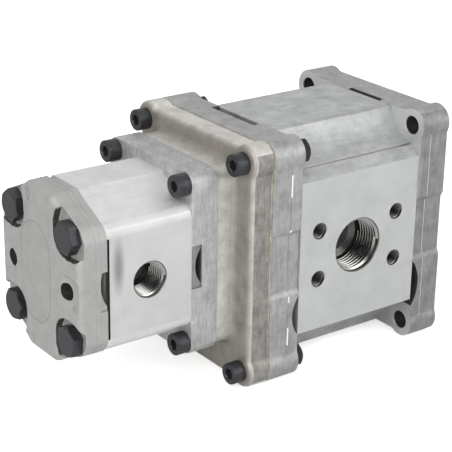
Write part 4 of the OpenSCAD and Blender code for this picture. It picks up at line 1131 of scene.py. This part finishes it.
class PUMP_OT_rear_cover(bpy.types.Operator):
    """Rear end cover with four open bolt pockets"""

    bl_idname = "pump.rear_cover"
    bl_label = "Rear end cover"

    def execute(self, context):
        sizes = context.scene.pump_sizes
        quarter = [(13.7, 50), (18.85, 46.5), (38.4, 37.4), (43.3, 30.45)]
        within = [(13.4, 49.1), (18.4, 45.8), (37.9, 36.7), (42.4, 30.2)]
        pocket_edge = [
            (68.6, 27), (44.8, 26.2), (43.0, 22.2), (40.4, 19.6), (37.2, 18.4), (30, 17.9), (24.45, 18.7),
            (20.15, 21), (17.3, 25.05), (16.3, 30), (16.7, 37.3), (19.2, 43.4), (24, 48.9), (30.85, 68.6),
            (68.6, 68.6)]
        blind = [(-28.8, Z_REAR - 1.35), (30.3, Z_REAR - 1.35)]
        piece = pulled("rear_cover_casting", softened(mirrored(quarter, Z_REAR), 4.5), END, REAR_BACK + 3)
        round_edges(piece, at_station(END), sizes.cover_round / MM, 5)
        for sy in (-1, 1):
            for sz in (-1, 1):
                outline = [(sy * y, Z_REAR + sz * z) for y, z in softened(pocket_edge, 2.5, 3)]
                pocket = pulled("pocket", outline, END - 2, END + 4.7)
                rim = pulled("rim", softened(mirrored(within, Z_REAR), 2), END + 3, END + 6)
                cut(piece, pulled("mouth", outline, END - 2, END + 3.8),
                    keep_within(pocket, rim))
            clear_selection()
            bpy.ops.mesh.primitive_cylinder_add(
                vertices=96, radius=20 * MM, depth=18.6 * MM,
                location=((END - 18.6 - sy * 0.6) * MM, sy * 34 * MM, (Z_REAR - 1.3) * MM))
            cut(piece, settle("trough"))
        cast_skin(piece, sizes.skin * 0.8, 4)
        machined(piece, REAR_BACK, 1, sizes.machined_edge)
        flatten(piece, END, -1)
        side_notches(piece, REAR_BACK, -1, 43.3, 4.45, 11.6, 1.2, 13.4, 3.4)
        holes(piece, blind, END - 1, END + 8.5, 5.1)
        holes(piece, COVER_BOLTS, END + 2, REAR_BACK + 2, M10_HOLE_R)
        cut(piece,
            block("top_notch", (REAR_BACK - 4.2, 7.5, Z_REAR + 46.6), (REAR_BACK + 1, 18.5, Z_REAR + 53)),
            pulled("scar", racetrack(8.7, Z_REAR - 43.4, 3.4, 0.4, 8), END - 1, END + 0.5),
            block("pit", (END - 1, -34.6, Z_REAR - 10.2), (END + 2.6, -34.1, Z_REAR - 8.0)))
        cut(piece,
            groove_tool("groove", 3.95, Z_REAR - 1.05, 14, 16.05, 15.7, 0.3),
            groove_tool("oval", 10.2, Z_REAR + 43.4, 1.75, 1.9, 1.15, 0.45, 10))
        smooth_out(piece)
        wear(piece, "blasted", "recess", "hole")
        # Painted shade in the blind holes, the side notches and the bolt pockets.
        wear_bores(piece, 2, blind, 5.1)
        wear_faces(piece, 2, lambda c, n: n.x < -0.9 and END + 8 < c.x < END + 9
                   and abs(abs(c.y) - 30.3) < 5.2)
        wear_recess(piece, 1, REAR_BACK - 3.6, REAR_BACK - 0.05, 36, 42, Z_REAR, 11.5)

        def in_pocket(c, n):
            y, z = abs(c.y), abs(c.z - Z_REAR)
            return (END + 0.6 < c.x < END + 4.9 and n.x > -0.6 and 15.5 < y < 41 and 17 < z < 46
                    and 0.4225 * y + 0.906 * z < 47.6 and (n.y * c.y > 0.1 or n.z * (c.z - Z_REAR) > 0.1))

        wear_faces(piece, 1, in_pocket)
        outline = softened(mirrored([(y + 0.1, z + 0.1) for y, z in quarter], Z_REAR), 4.5)
        lines = []
        for x, gaps in ((-7.4, [(24, 24)]), (-4.4, [(24, 24), (50, 12)])):
            line = pulled("line", outline, REAR_BACK + x, REAR_BACK + x + 0.4)
            for gap_y, gap_z in gaps:
                cut(line, block("gap", (REAR_BACK - 9, -gap_y, Z_REAR - gap_z),
                                (REAR_BACK - 3, gap_y, Z_REAR + gap_z)))
            lines.append(line)
        lines = joined("parting_lines", *lines)
        wear(lines, "blasted")
        done(joined("rear_cover_casting", piece, lines), "rear_cover")
        return {"FINISHED"}


class PUMP_OT_socket_screws(bpy.types.Operator):
    """Socket head screws of the adapter and the rear pump flange"""

    bl_idname = "pump.socket_screws"
    bl_label = "Socket head screws"

    def execute(self, context):
        def screw(name, head_r, head_k, socket, shank_r, shank_len):
            head = rod(name, 0, -head_k, head_r, 0, 0, 64)
            round_edges(head, at_station(-head_k), 0.6, 3)
            round_edges(head, at_station(0), 0.25, 2)
            key = rod("key", -head_k * 0.4, -head_k - 1, socket / 2 / HEX, 0, 0, 6)
            mouth = cone("mouth", -head_k - 0.5, -head_k + 0.5, socket / 2 + 1.0, socket / 2 + 0.1,
                         0, 0, 48)
            cut(head, key, mouth)
            weld(head, rod("shank", -0.5, shank_len, shank_r, 0, 0, 32))
            take(head)
            bpy.ops.object.shade_smooth_by_angle(angle=math.radians(35))
            wear(head, "oxide", "rubber")
            # Painted shade deep in the hex socket, in the near-black finish of the seals.
            wear_faces(head, 1, lambda c, n: 0.6 - head_k < c.x < -head_k * 0.35
                       and math.hypot(c.y, c.z) < socket / 2 + 0.1)
            return head

        for node, seat, places in (
                ("adapter_screws", PLATE_BACK, EARS), ("rear_flange_screws", SMALL_BACK, FLANGE_SCREWS)):
            pattern = screw("socket_screw", 6.5, 8, 6, 3.95, high(node, 0) - seat)
            stack = [copy_of(pattern, "socket_screw", (seat, y, z), 11 + 23 * n)
                     for n, (y, z) in enumerate(places)]
            done(joined(node + "_set", *stack), node)
            bpy.data.objects.remove(pattern)
        return {"FINISHED"}


class PUMP_OT_nuts(bpy.types.Operator):
    """Hexagon nuts behind the middle cover's ears"""

    bl_idname = "pump.nuts"
    bl_label = "Hexagon nuts"

    def execute(self, context):
        k = high("adapter_nuts", 0) - COVER_FRONT
        nut = rod("nut", 0, k, 13 / 2 / HEX, 0, 0, 6, turn=-78)
        for a, b, ra, rb in ((-4, k + 1, 0.2, 18.2), (-1, k + 4, 18.2, 0.2)):
            keep_within(nut, cone("chamfer", a, b, ra, rb, 0, 0, 64))
        cut(nut, rod("hole", -1, k + 1, 4, 0, 0, 48))
        stack = [copy_of(nut, "adapter_nut", (COVER_FRONT, y, z)) for y, z in EARS]
        bpy.data.objects.remove(nut)
        piece = joined("adapter_nut_set", *stack)
        smooth_out(piece)
        # Painted shade: the nuts get a nearly black finish, as in the shade of the ears.
        wear(piece, "oiled")
        done(piece, "adapter_nuts")
        return {"FINISHED"}


class PUMP_OT_cover_bolts(bpy.types.Operator):
    """Hexagon head bolts of the rear end cover"""

    bl_idname = "pump.cover_bolts"
    bl_label = "Rear cover bolts"

    def execute(self, context):
        k = 6.4
        seat = END + 4.7
        bolt = rod("bolt", 0, -k, 17 / 2 / HEX, 0, 0, 6)
        keep_within(bolt, cone("turned", -k, -k + 9, 8.2, 8.2 + 15.6, 0, 0, 96))
        round_edges(bolt, lambda a, b: abs(a.x - b.x) > 3, 0.3, 2)
        weld(bolt, rod("shank", -0.5, high("rear_cover_bolts", 0) - seat, 4.95, 0, 0, 32))
        take(bolt)
        bpy.ops.object.shade_smooth_by_angle(angle=math.radians(28))
        wear(bolt, "oxide")
        stack = [copy_of(bolt, "cover_bolt", (seat, y, z), turn)
                 for turn, (y, z) in zip((-80, -66, -52, -38), COVER_BOLTS)]
        bpy.data.objects.remove(bolt)
        piece = joined("rear_cover_bolt_set", *stack)
        done(piece, "rear_cover_bolts")
        return {"FINISHED"}


class PUMP_OT_threads(bpy.types.Operator):
    """Thread ridges in the ports and the tapped holes round the front ports"""

    bl_idname = "pump.threads"
    bl_label = "Port threads"

    def execute(self, context):
        steps = context.scene.pump_sizes.thread_steps
        front = (FRONT_PORT_X, FRONT_PAD - 0.3, Z_FRONT)
        rear = (REAR_PORT_X, REAR_PAD - 0.3, Z_REAR)
        for name, radius, pitch, depth, length, place, side, slot in (
                ("front_inlet_thread", 16.625, 2.309, 1.4, 18.6, front, -1, "front_body"),
                ("front_outlet_thread", 13.22, 1.814, 1.1, 15.0, front, 1, "front_body"),
                ("rear_inlet_thread", 10.48, 1.814, 1.1, 17.2, rear, -1, "rear_body"),
                ("rear_outlet_thread", 8.33, 1.337, 0.82, 13.6, rear, 1, "rear_body")):
            ridge = thread(name, radius, pitch, depth, length, steps)
            piece = thread_at(ridge, name + "_ridge", *place, side)
            bpy.data.objects.remove(ridge)
            wear(piece, "bored")
            done(piece, slot, replaces=False)
        for name, (side, spacing_x, spacing_z, tap_depth) in zip(
                ("inlet_bolt_threads", "outlet_bolt_threads"), PORT_BOLTS):
            ridge = thread(name, 5.0, 1.5, 0.8, tap_depth - 2, 24)
            stack = [thread_at(ridge, "tapped", x, FRONT_PAD - 0.3, z, side)
                     for x, z in port_bolts(spacing_x, spacing_z)]
            bpy.data.objects.remove(ridge)
            piece = joined(name, *stack)
            # The tapped finish darkens these threads as painted shade.
            wear(piece, "tapped")
            done(piece, "front_body", replaces=False)
        return {"FINISHED"}


class PUMP_OT_finish_solids(bpy.types.Operator):
    """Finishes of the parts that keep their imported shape"""

    bl_idname = "pump.finish_solids"
    bl_label = "Finish inner parts"

    def execute(self, context):
        plan = {
            "rubber": ["shaft_seal", "front_body_seals", "front_pressure_seals", "coupling_seal",
                       "adapter_o_ring", "rear_body_seals", "rear_pressure_seals"],
            "phosphated": ["seal_circlip"],
            "milled": ["front_block_a", "front_block_b", "rear_block_a", "rear_block_b"],
            "bronze": ["front_bushes", "rear_bushes"],
            "ground": ["front_drive_gear", "front_driven_gear", "shaft_key", "front_dowels",
                       "coupling_sleeve", "rear_drive_gear", "rear_driven_gear", "rear_dowels"],
            "zinc": ["shaft_washer", "shaft_nut"],
            "oxide": ["front_tie_screws"],
        }
        for finish, nodes in plan.items():
            for node in nodes:
                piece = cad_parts[node]
                if not piece.material_slots:
                    piece.data.materials.append(None)
                for slot in piece.material_slots:
                    slot.material = finishes()[finish]
        return {"FINISHED"}


OPERATORS = (
    PUMP_OT_stage, PUMP_OT_rear_cover, PUMP_OT_rear_body, PUMP_OT_rear_flange,
    PUMP_OT_adapter_housing, PUMP_OT_adapter_gasket, PUMP_OT_middle_cover,
    PUMP_OT_front_body, PUMP_OT_front_flange, PUMP_OT_socket_screws, PUMP_OT_nuts,
    PUMP_OT_cover_bolts, PUMP_OT_threads, PUMP_OT_finish_solids)


class PUMP_PT_panel(bpy.types.Panel):
    """The pump's pieces in the sidebar"""

    bl_idname = "PUMP_PT_panel"
    bl_label = "Tandem gear pump"
    bl_space_type = "VIEW_3D"
    bl_region_type = "UI"
    bl_category = "Pump"

    def draw(self, context):
        for group in (context.scene.pump_sizes, context.scene.pump_colours):
            for key in group.bl_rna.properties.keys():
                if key not in {"rna_type", "name"}:
                    self.layout.prop(group, key)
        for operator in OPERATORS:
            self.layout.operator(operator.bl_idname)


CLASSES = (PumpSizes, PumpColours, *OPERATORS, PUMP_PT_panel)


def register():
    for cls in CLASSES:
        bpy.utils.register_class(cls)
    bpy.types.Scene.pump_sizes = bpy.props.PointerProperty(type=PumpSizes)
    bpy.types.Scene.pump_colours = bpy.props.PointerProperty(type=PumpColours)


def unregister():
    del bpy.types.Scene.pump_colours
    del bpy.types.Scene.pump_sizes
    for cls in reversed(CLASSES):
        bpy.utils.unregister_class(cls)


def main():
    register()
    for operator in OPERATORS:
        group, action = operator.bl_idname.split(".")
        getattr(getattr(bpy.ops, group), action)()
    clear_selection()


if __name__ == "__main__":
    main()
